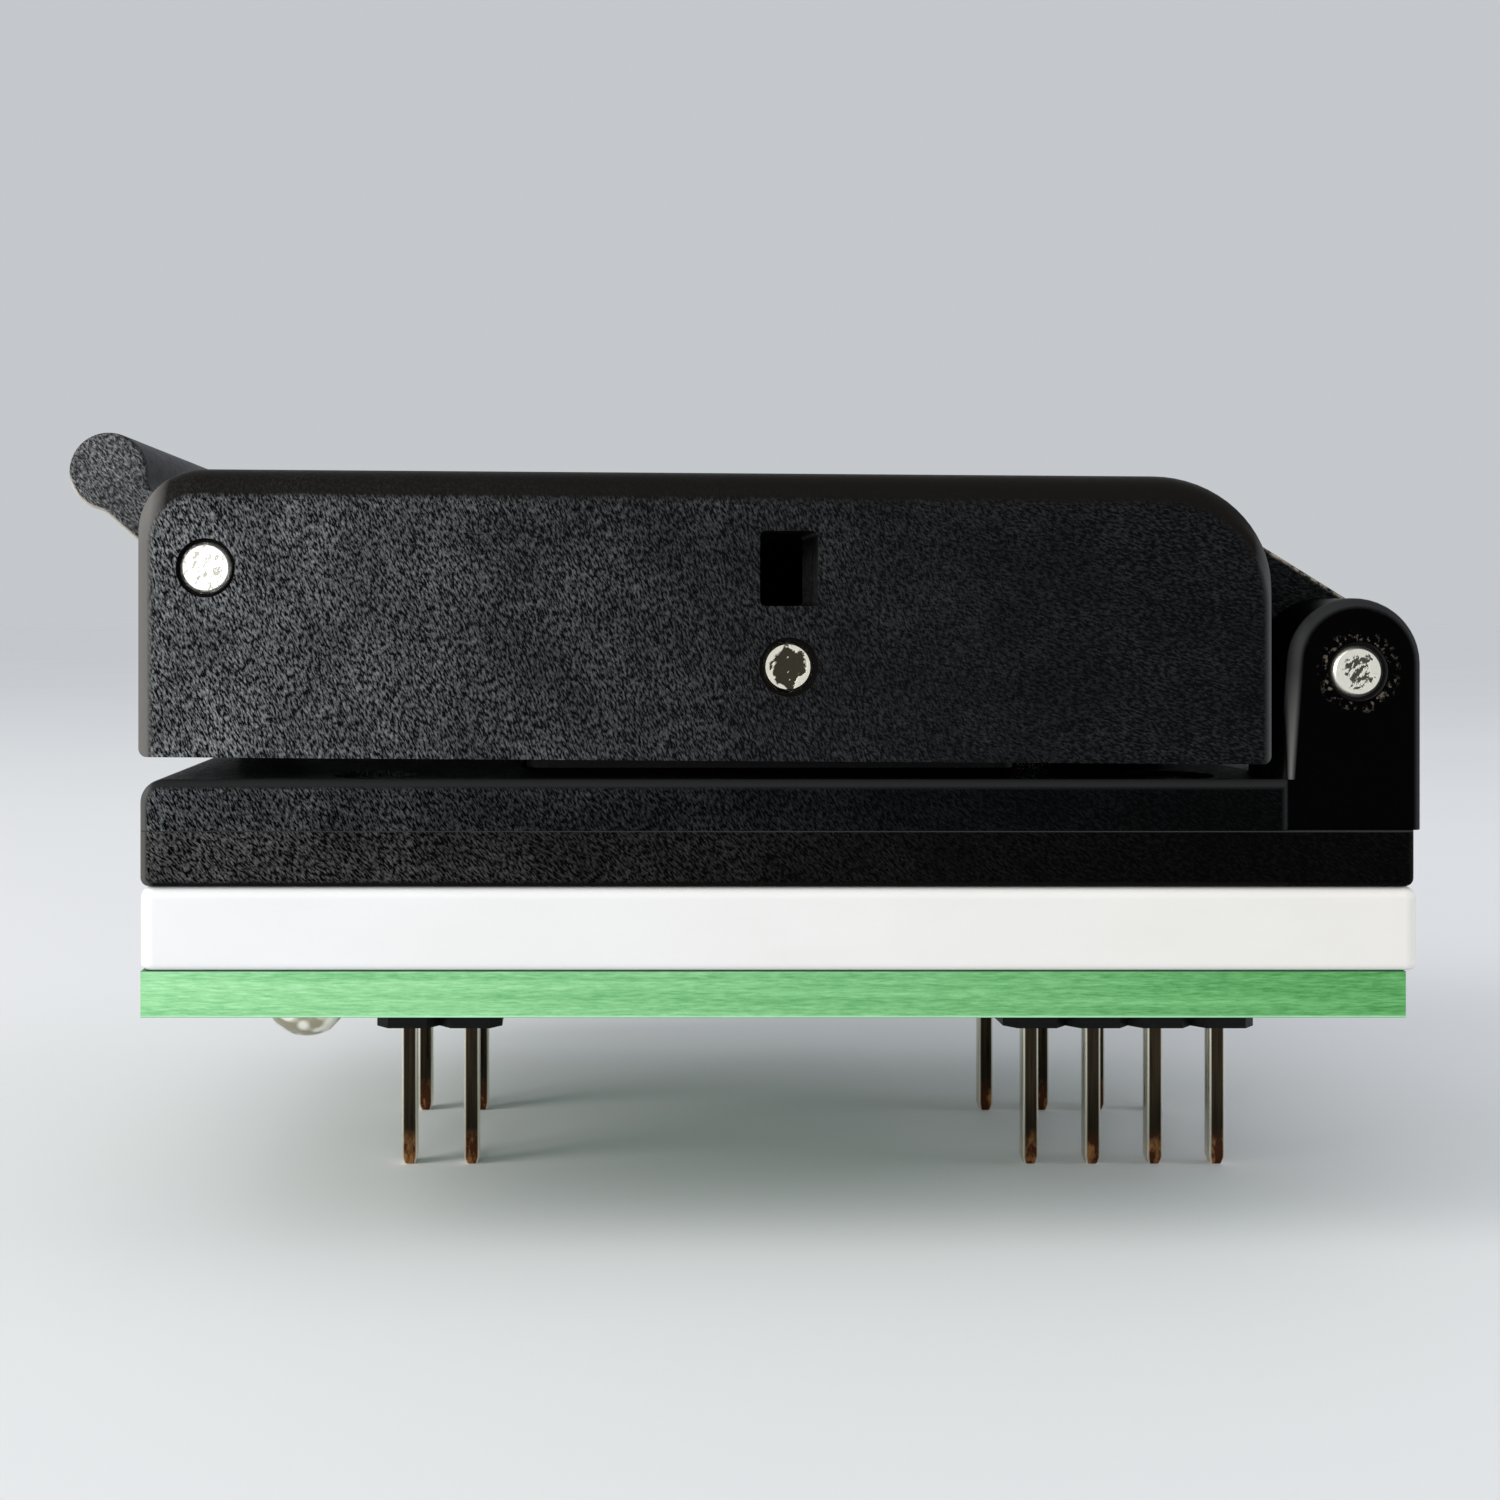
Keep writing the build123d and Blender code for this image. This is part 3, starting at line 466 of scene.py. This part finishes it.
def shaft_end(name, middle, bright, dark, worn_radius, worn_from, rough, narrow=1.0):
    """Steel shaft whose sheared end is scratched dark inside a bright ring, out to the worn radius; the
    bright specks left among the dark scratches are painted glints. The lower worn_from is, the more of it
    is dark."""
    wobble_grain = 0.45 * MM
    wander = 0.28 * MM
    edge_blur = 0.04 * MM
    scratch_grain = 0.16 * MM
    scratch_turn = (0, 35, 0)
    nick_blur = 0.05
    worn_rough = 0.5
    dent_depth = 0.012 * MM
    finish = Finish(name, {"Metallic": 1.0})
    away = finish.from_shaft(middle, narrow)
    wobble = finish.noise(wobble_grain, detail=3.0, roughness=0.65, swirl=0.6)
    edge = finish.combine("ADD", away, finish.spread(wobble, -wander, wander))
    center = finish.fall(edge, worn_radius - edge_blur, worn_radius + edge_blur)
    slanted = finish.laid((1, 1, 2), scratch_turn)
    scratches = finish.noise(scratch_grain, slanted, detail=3.0, roughness=0.7)
    # Painted glints: bright specks where the scratch noise stays below worn_from
    nicks = finish.span(scratches, worn_from, worn_from + nick_blur)
    worn = finish.product(center, nicks)
    finish.feed("Base Color", finish.tint(worn, bright, dark))
    finish.feed("Roughness", finish.between(worn, rough, worn_rough))
    finish.feed("Normal", finish.relief(finish.combine("SUBTRACT", wobble, worn), dent_depth))
    return finish.material


def turned_metal(name, color, worn, rough, grain=0.08 * MM, stretch=(1, 1, 1)):
    """Drawn, turned or plated metal with fine marks along one way."""
    duller = 0.14
    mark_depth = 0.003 * MM
    finish = Finish(name, {"Metallic": 1.0})
    marks = finish.noise(grain, finish.laid(stretch), detail=3.0, roughness=0.6)
    finish.feed("Base Color", finish.tint(finish.span(marks, 0.35, 0.7), color, worn))
    finish.feed("Roughness", finish.spread(marks, rough, rough + duller))
    finish.feed("Normal", finish.relief(marks, mark_depth))
    return finish.material


def moulded_insulator(name, body, fleck, rough, gloss=0.4):
    """Plain black or brown moulding with a soft, even skin."""
    duller = 0.12
    skin_grain = 0.2 * MM
    skin_depth = 0.006 * MM
    finish = Finish(name, {"Specular IOR Level": gloss})
    skin = finish.noise(skin_grain, detail=3.0, roughness=0.6)
    finish.feed("Base Color", finish.tint(finish.span(skin, 0.55, 0.8), body, fleck))
    finish.feed("Roughness", finish.spread(skin, rough, rough + duller))
    finish.feed("Normal", finish.relief(skin, skin_depth))
    return finish.material


def solder_metal():
    """Bright tin solder with a few flats painted darker as the dark that they reflect."""
    flat_grain = 0.9 * MM
    dent_grain = 0.55 * MM
    fine_grain = 0.12 * MM
    dent_depth = 0.008 * MM
    finish = Finish("solder_tin", {"Metallic": 1.0})
    flats = finish.cells(flat_grain)
    dents = finish.cells(dent_grain, feature="SMOOTH_F1")
    grain = finish.noise(fine_grain, detail=3.0)
    # Painted reflection: some flat cells darkened
    painted_dark_facets = finish.span(finish.combine("ADD", flats, dents), 0.78, 0.98)
    finish.feed("Base Color", finish.tint(painted_dark_facets, (1.0, 0.98, 0.88), (0.4, 0.37, 0.27)))
    finish.feed("Roughness", finish.spread(grain, 0.1, 0.24))
    finish.feed("Normal", finish.relief(finish.combine("ADD", grain, flats), dent_depth))
    return finish.material


# Zones of the black mouldings that are smoother than their faces, or painted lighter as highlights and
# glints on rims, corners, the seam and specks
lid_rim_width = 1.3 * MM
tongue_rim_width = 0.3 * MM
wall_rim_width = 0.4 * MM
post_rim_width = 0.42 * MM
neck_rim_width = 0.16 * MM
soft_step = 0.1 * MM
lid_rim = rim_zone(lid_high.y, lid_rim_width)
# Painted highlights on the lid's rim at its latch and hinge ends, and painted glints along the tongue's rim
lid_latch_highlight = both(lid_rim, before("X", lid_low.x + 0.4 * MM, lid_low.x + 1.0 * MM))
lid_hinge_highlight = both(lid_rim, beyond("X", tongue_start - 0.7 * MM, tongue_start - 0.2 * MM))
tongue_glints = both(
    rim_zone(tongue_side, tongue_rim_width), beyond("X", tongue_start, tongue_start + soft_step),
    speckle(0.35 * MM, 0.4, 0.6),
)
# Painted highlights on the wall's rounded top rim and on its latch-end corner
wall_rim_highlight = both(
    rim_zone(socket_high.y, wall_rim_width), before("X", wall_end - soft_step, wall_end),
)
wall_corner_highlight = both(wall_rim_highlight, before("X", socket_low.x + 0.3 * MM, socket_low.x + 0.5 * MM))
# Painted highlights on the posts' rounded rim, brightest on the latch side low down
post_rim_highlight = both(
    rim_zone(post_side, post_rim_width), beyond("X", wall_end, wall_end + soft_step),
)
post_latch_highlight = both(
    post_rim_highlight, before("X", hinge_shaft[X_AXIS] - 2.0 * MM, hinge_shaft[X_AXIS] - 1.6 * MM),
    before("Z", wall_top, hinge_shaft[Z_AXIS], end=0.1),
)
# Painted glints in a ring round the hinge hole
hinge_glints = both(hinge_ring, speckle(0.2 * MM, 0.56, 0.62))
# Painted highlight along the lower part's top edge at the seam
seam_highlight = beyond("Z", seam_height - 0.05 * MM, seam_height - 0.03 * MM)
# Painted highlight: a cream line along the lower rim of the lever's neck
neck_rim_highlight = both(rim_zone(lever_side, neck_rim_width), neck_underside)

# Materials of the imported nodes
# Lid: its smooth rim painted dark brown as a painted reflection, lighter than its faces, with painted
# highlights at the rim's ends
lid_black = glass_filled_plastic(
    "lid_black", body=(0.0015, 0.0016, 0.0018), fleck=(0.34, 0.358, 0.37), turns=(-24, -72),
    gloss=0.03, far_flecks=0.06, smooth=(lid_rim, (0.0065, 0.0055, 0.0046)),
    painted_highlights=(
        (lid_latch_highlight, (0.13, 0.127, 0.122)),
        (lid_hinge_highlight, (0.075, 0.077, 0.078)),
        (tongue_glints, (0.3, 0.26, 0.2)),
    ),
)
# Upper part: painted highlights on the wall's rim and latch-end corner and on the posts' rims, and painted
# glints round the hinge hole
upper_black = glass_filled_plastic(
    "upper_black", body=(0.0008, 0.0009, 0.001), fleck=(0.16, 0.17, 0.18), turns=(-30, -60),
    gloss=0.012, far_flecks=0.02, smooth=(post_zone, (0.0005, 0.0005, 0.0006)),
    painted_highlights=(
        (wall_rim_highlight, (0.018, 0.0185, 0.019)),
        (wall_corner_highlight, (0.075, 0.075, 0.073)),
        (post_rim_highlight, (0.022, 0.0225, 0.023)),
        (post_latch_highlight, (0.14, 0.138, 0.132)),
        (hinge_glints, (0.09, 0.075, 0.06)),
    ),
)
# Lower part: its rim and latch-end corner painted lighter as highlights, and a painted highlight along the
# seam
lower_black = glass_filled_plastic(
    "lower_black", body=(0.0008, 0.0008, 0.0008), fleck=(0.165, 0.168, 0.163), turns=(-42, -60),
    gloss=0.012, far_flecks=0.02, smooth=(wall_rim_highlight, (0.0035, 0.003, 0.0027)),
    painted_highlights=(
        (wall_corner_highlight, (0.075, 0.074, 0.07)),
        (seam_highlight, (0.03, 0.03, 0.03)),
    ),
)
# Lever: the bar's faint blue tint is a painted reflection, and the cream neck rim a painted highlight
lever_black = glass_filled_plastic(
    "lever_black", body=(0.02, 0.021, 0.022), fleck=(0.3, 0.305, 0.31), turns=(-40, -40),
    gloss=0.015, far_flecks=0.0, smooth=(bar_zone, (0.012, 0.0145, 0.018)),
    painted_highlights=((neck_rim_highlight, (0.5, 0.47, 0.4)),),
)
spring_steel = turned_metal("spring_wire", (0.6, 0.6, 0.61), (0.42, 0.42, 0.43), rough=0.24)
contact_gold = turned_metal("contact_gold", (0.86, 0.6, 0.24), (0.75, 0.5, 0.2), rough=0.2)
insulator_black = moulded_insulator(
    "insulator_black", (0.003, 0.003, 0.0032), (0.01, 0.01, 0.0105), rough=0.4, gloss=0.15,
)
node_finishes = {
    "lid_shell": lid_black,
    "socket_lower": lower_black,
    "socket_upper": upper_black,
    "latch_lever": lever_black,
    "chip_guide": moulded_insulator(
        "guide_black", (0.016, 0.016, 0.017), (0.04, 0.04, 0.042), rough=0.45,
    ),
    "contact_block": moulded_insulator(
        "block_brown", (0.035, 0.026, 0.018), (0.06, 0.047, 0.034), rough=0.5,
    ),
    "spacer_plate": white_plastic(),
    "circuit_board": board_laminate(),
    "pressure_block": turned_metal(
        "block_aluminium", (0.62, 0.63, 0.64), (0.5, 0.51, 0.52), rough=0.3,
        grain=0.05 * MM, stretch=(30, 1, 1),
    ),
    "pressure_pad": turned_metal(
        "pad_aluminium", (0.64, 0.65, 0.66), (0.52, 0.53, 0.54), rough=0.26,
        grain=0.05 * MM, stretch=(1, 30, 1),
    ),
    "base_screws": turned_metal("screw_zinc", (0.66, 0.67, 0.7), (0.5, 0.5, 0.52), rough=0.28),
    "fixing_stakes": turned_metal("stake_tin", (0.74, 0.72, 0.66), (0.6, 0.56, 0.48), rough=0.3),
    "contact_barrels": contact_gold,
    "contact_plungers": contact_gold,
    "lid_springs": spring_steel,
    "latch_spring": spring_steel,
    "guide_springs": spring_steel,
    "latch_pin": shaft_end(
        "latch_shaft", latch_shaft, bright=(0.86, 0.85, 0.8), dark=(0.5, 0.49, 0.43),
        worn_radius=0.9 * MM, worn_from=0.55, rough=0.34,
    ),
    "lid_cross_pin": shaft_end(
        "cross_shaft", cross_shaft, bright=(0.9, 0.86, 0.72), dark=(0.045, 0.04, 0.028),
        worn_radius=0.74 * MM, worn_from=0.3, rough=0.3, narrow=0.72,
    ),
    "hinge_pin": shaft_end(
        "hinge_shaft", hinge_shaft, bright=(0.95, 0.92, 0.8), dark=(0.08, 0.075, 0.06),
        worn_radius=0.54 * MM, worn_from=0.43, rough=0.3,
    ),
}
strip_positions = {"front_left": 2, "front_right": 4, "rear_left": 2, "rear_right": 4}
for strip in strip_positions:
    node_finishes[f"header_strip_{strip}"] = insulator_black
for node_name, node_finish in node_finishes.items():
    for slot in nodes[node_name].material_slots:
        slot.material = node_finish


def grid_faces(rows, columns):
    """Quads between neighbouring points of a grid whose columns close on themselves."""
    row, column = np.meshgrid(np.arange(rows - 1), np.arange(columns), indexing="ij")
    next_column = (column + 1) % columns
    corners = (
        row * columns + column,
        row * columns + next_column,
        (row + 1) * columns + next_column,
        (row + 1) * columns + column,
    )
    return np.stack(corners, -1).reshape(-1, 4)


def closed_surface(name, grids, finish, smooth_angle=50.0):
    """One mesh of tubes. Each grid is rows of rings from the low end to the high end, with capped ends."""
    points = []
    faces = []
    start = 0
    for grid in grids:
        rows, columns = grid.shape[:2]
        points.append(grid.reshape(-1, 3))
        faces += (grid_faces(rows, columns) + start).tolist()
        faces.append((np.arange(columns)[::-1] + start).tolist())
        faces.append((np.arange(columns) + start + (rows - 1) * columns).tolist())
        start += rows * columns
    mesh = bpy.data.meshes.new(name)
    mesh.from_pydata(np.concatenate(points).tolist(), [], faces)
    mesh.validate()
    mesh.shade_smooth()
    mesh.set_sharp_from_angle(angle=math.radians(smooth_angle))
    mesh.materials.append(finish)
    piece = bpy.data.objects.new(name, mesh)
    bpy.context.scene.collection.objects.link(piece)
    return piece


# Header pins: rounded square wire with a drawn tip
pitch = 2.54 * MM
pin_half = 0.32 * MM
pin_corner = 0.1 * MM
corner_steps = 5
tip_rises = np.array((0, 0.02, 0.05, 0.1, 0.26, 0.32, 0.38)) * MM
tip_shares = np.array((0.6, 0.68, 0.74, 0.79, 0.95, 0.985, 1.0))
row_side_glint = 0.5


def corner_angles():
    """The quadrant of each point round a square, and its angle: steps of a quarter turn in each."""
    quadrant = np.repeat(np.arange(4), corner_steps)
    sweep = np.tile(np.linspace(0, 1, corner_steps), 4)
    return quadrant, (quadrant + sweep) * math.pi / 2


def rounded_square(half, corner):
    """Ring of points round a square: in each quadrant, a corner circle's centre plus its quarter arc."""
    quadrant, angle = corner_angles()
    middle = (quadrant + 0.5) * math.pi / 2
    reach = half - corner
    x = reach * np.sign(np.cos(middle)) + corner * np.cos(angle)
    y = reach * np.sign(np.sin(middle)) + corner * np.sin(angle)
    return np.stack((x, y), -1)


def header_pin(x, y, low, high):
    """Wire along Z: the ring scaled by a share that rises from the tip, in a quarter round, then a
    taper."""
    heights = np.append(low + tip_rises, high)
    shares = np.append(tip_shares, 1.0)
    ring = rounded_square(pin_half, pin_corner)
    grid = np.zeros((len(heights), len(ring), 3))
    grid[..., 0] = x + shares[:, None] * ring[None, :, 0]
    grid[..., 1] = y + shares[:, None] * ring[None, :, 1]
    grid[..., 2] = heights[:, None]
    return grid


def mark_painted_glints(piece, rings):
    """A painted highlight weight of 1 in the middle of each corner, less on the sides that face along the
    row, and
    0 on the front and back: the square of the sine of twice the angle, plus a share of the cosine's square,
                             at
    most 1."""
    angle = corner_angles()[1]
    value = np.sin(2 * angle) ** 2 + row_side_glint * np.cos(angle) ** 2
    attribute = piece.data.attributes.new("painted_glint", "FLOAT", "POINT")
    attribute.data.foreach_set("value", np.tile(np.clip(value, 0, 1), rings).astype(np.float32))


pin_gold = header_gold()
for strip, count in strip_positions.items():
    pins_low, pins_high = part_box(f"header_pins_{strip}")
    first_x = pins_low.x + pin_half
    row_y = (pins_low.y + pins_high.y) / 2
    wires = [
        header_pin(first_x + step * pitch, row_y, pins_low.z, pins_high.z)
        for step in range(count)
    ]
    wire_piece = closed_surface(f"pin_wire_{strip}", wires, pin_gold)
    mark_painted_glints(wire_piece, sum(len(wire) for wire in wires))
    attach(wire_piece, "base")
    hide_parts(f"header_pins_{strip}")


# Solder domes under the board
solder_low, solder_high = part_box("solder_joints")
dome_radius = 1.45 * MM
dome_rows = 22
dome_columns = 48
two_lobes = 0.05
three_lobes = 0.025
flat_slopes = (0.55, 0.9, 0.7, 1.1)
flat_reach = 0.93
flat_shift = 0.3


def solder_dome(x, y, low, high, turn):
    """Dome below the board: a half round turned about Z, flattened where sloping planes cut it."""
    rows = np.linspace(0.02, 1, dome_rows)[:, None]
    around = np.linspace(0, AROUND, dome_columns + 1)[None, :-1]
    lobes = 1 + two_lobes * np.cos(2 * around + turn) + three_lobes * np.cos(3 * around - turn)
    round_radius = dome_radius / (1 + two_lobes + three_lobes)
    radius = round_radius * lobes * np.sin(rows * math.pi / 2)
    depth = (high - low) * np.cos(rows * math.pi / 2)
    depth = np.broadcast_to(depth, radius.shape).copy()
    for plane, slope in enumerate(flat_slopes):
        toward_flat = around - turn - plane * math.pi / 2 - flat_shift * plane
        reach = flat_reach * math.hypot(high - low, slope * dome_radius)
        depth = np.minimum(depth, np.maximum(reach - slope * radius * np.cos(toward_flat), 0))
    return np.stack((x + radius * np.cos(around), y + radius * np.sin(around), high - depth), -1)


domes = [
    solder_dome(
        solder_low.x + dome_radius, solder_low.y + dome_radius, solder_low.z, board_low.z, turn=0.6,
    ),
    solder_dome(
        solder_high.x - dome_radius, solder_high.y - dome_radius, solder_low.z, board_low.z, turn=2.4,
    ),
]
dome_piece = closed_surface("solder_domes", domes, solder_metal(), smooth_angle=25.0)
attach(dome_piece, "base")
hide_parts("solder_joints")


# Springs that the chip guide and the latch press together, of round wire
steps_per_turn = 24
wire_sides = 12


def coil_wire(foot, axis, length, radius, wire, turns):
    """Wire wound round an axis through the foot: at each step a ring of the wire's radius, whose middle
    has gone round at the coil's radius and along the axis by its share of the length."""
    across = (axis + 1) % 3
    up = (axis + 2) % 3
    travel = np.linspace(0, 1, turns * steps_per_turn)[:, None]
    ring = np.linspace(0, AROUND, wire_sides + 1)[None, :-1]
    reach = radius + wire / 2 * np.cos(ring)
    grid = np.zeros((travel.size, ring.size, 3))
    grid[..., axis] = foot[axis] + wire / 2 + (length - wire) * travel - wire / 2 * np.sin(ring)
    grid[..., across] = foot[across] + reach * np.cos(AROUND * turns * travel)
    grid[..., up] = foot[up] + reach * np.sin(AROUND * turns * travel)
    return grid


def pressed_spring(node, coils, body):
    """Springs in place of a node, on a mesh of their own, attached to a body."""
    piece = closed_surface(f"{node}_wire", coils, spring_steel)
    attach(piece, body)
    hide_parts(node)
    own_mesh(piece)


guide_coils_low, guide_coils_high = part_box("guide_springs")
guide_coil_wire = 0.22 * MM
guide_coil_radius = 0.62 * MM
guide_coil_turns = 3
guide_coil_reach = guide_coil_radius + guide_coil_wire / 2
guide_coil_length = guide_coils_high.z - guide_coils_low.z
guide_coils = [
    coil_wire(
        (x, y, guide_coils_low.z), Z_AXIS, guide_coil_length, guide_coil_radius, guide_coil_wire,
        guide_coil_turns,
    )
    for x in (guide_coils_low.x + guide_coil_reach, guide_coils_high.x - guide_coil_reach)
    for y in (guide_coils_low.y + guide_coil_reach, guide_coils_high.y - guide_coil_reach)
]
pressed_spring(
    "guide_springs", guide_coils, "base",
)

latch_coil_low, latch_coil_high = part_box("latch_spring")
latch_coil_wire = 0.3 * MM
latch_coil_radius = 0.84 * MM
latch_coil_turns = 4
latch_coil_length = latch_coil_high.x - latch_coil_low.x
latch_coil_foot = (latch_coil_low.x, 0, (latch_coil_low.z + latch_coil_high.z) / 2)
latch_coil = coil_wire(
    latch_coil_foot, X_AXIS, latch_coil_length, latch_coil_radius, latch_coil_wire, latch_coil_turns,
)
pressed_spring(
    "latch_spring", [latch_coil], "lid",
)


# Floor, lights and camera
floor_half = 4.0
aim = (-1.5 * MM, -10 * MM, 8 * MM)
camera_place = (-9.83 * MM, -74.16 * MM, 16.67 * MM)
sensor_width = 36.0
focal_length = 41.11
shift_across = 0.118
shift_up = -0.09
nearest_seen = 1 * MM
farthest_seen = 20.0


def floor_surface(half, height):
    """Level square."""
    mesh = bpy.data.meshes.new("floor")
    corners = [(-half, -half, height), (half, -half, height), (half, half, height), (-half, half, height)]
    mesh.from_pydata(corners, [], [(0, 1, 2, 3)])
    piece = bpy.data.objects.new("floor", mesh)
    bpy.context.scene.collection.objects.link(piece)
    return piece


def floor_paint():
    """Pale paint with a faint mottle."""
    finish = Finish("floor_pale", {"Roughness": 0.75, "Specular IOR Level": 0.2})
    mottle = finish.noise(50 * MM, detail=3.0)
    finish.feed("Base Color", finish.tint(mottle, (0.74, 0.75, 0.765), (0.78, 0.788, 0.8)))
    return finish.material


def facing(place):
    """Turn that makes a lamp at a place face the part."""
    direction = np.array(aim) - np.array(place)
    yaw = math.atan2(direction[0], direction[1])
    rise = math.atan2(direction[2], math.hypot(direction[0], direction[1]))
    return (math.pi / 2 + rise, 0, -yaw)


def hang_lamp(name, light, place):
    """A lamp at a place, which faces the part."""
    lamp = bpy.data.objects.new(name, light)
    lamp.location = place
    lamp.rotation_euler = facing(place)
    bpy.context.scene.collection.objects.link(lamp)
    return lamp


def soft_light(name, place, size, power, color):
    """Square area light that faces the part, and that the camera doesn't see."""
    light = bpy.data.lights.new(name, "AREA")
    light.shape = "RECTANGLE"
    light.size, light.size_y = size
    light.energy = power
    light.color = color
    hang_lamp(name, light, place).visible_camera = False


def wide_sky(name, place, strength, degrees_wide):
    """Very soft sun, which lights the floor evenly out to the horizon."""
    light = bpy.data.lights.new(name, "SUN")
    light.energy = strength
    light.angle = math.radians(degrees_wide)
    hang_lamp(name, light, place)


floor = floor_surface(floor_half, cad_box[0][2])
floor.data.materials.append(floor_paint())

world = bpy.data.worlds.new("studio")
world.use_nodes = True
air = world.node_tree.nodes["Background"].inputs
air["Color"].default_value = (0.93, 0.96, 1.0, 1)
air["Strength"].default_value = 0.6
bpy.context.scene.world = world
bpy.context.scene.view_settings.view_transform = "Standard"

wide_sky("sky_soft", (-0.5, -0.7, 0.8), strength=0.75, degrees_wide=60)
soft_light(
    "front_window", (-0.15, -0.46, 0.12), size=(0.13, 0.2), power=0.3, color=(1.0, 0.985, 0.96),
)
soft_light(
    "left_window", (-0.32, -0.12, 0.14), size=(0.14, 0.26), power=0.95, color=(1.0, 0.97, 0.92),
)
soft_light(
    "right_edge", (0.35, -0.02, 0.1), size=(0.1, 0.22), power=0.3, color=(0.92, 0.96, 1.0),
)

camera_data = bpy.data.cameras.new("photo_camera")
camera_data.sensor_width = sensor_width
camera_data.lens = focal_length
camera_data.shift_x = shift_across
camera_data.shift_y = shift_up
camera_data.clip_start = nearest_seen
camera_data.clip_end = farthest_seen
camera = bpy.data.objects.new("photo_camera", camera_data)
camera.location = camera_place
camera.rotation_euler = (math.pi / 2, 0, 0)
bpy.context.scene.collection.objects.link(camera)
bpy.context.scene.camera = camera
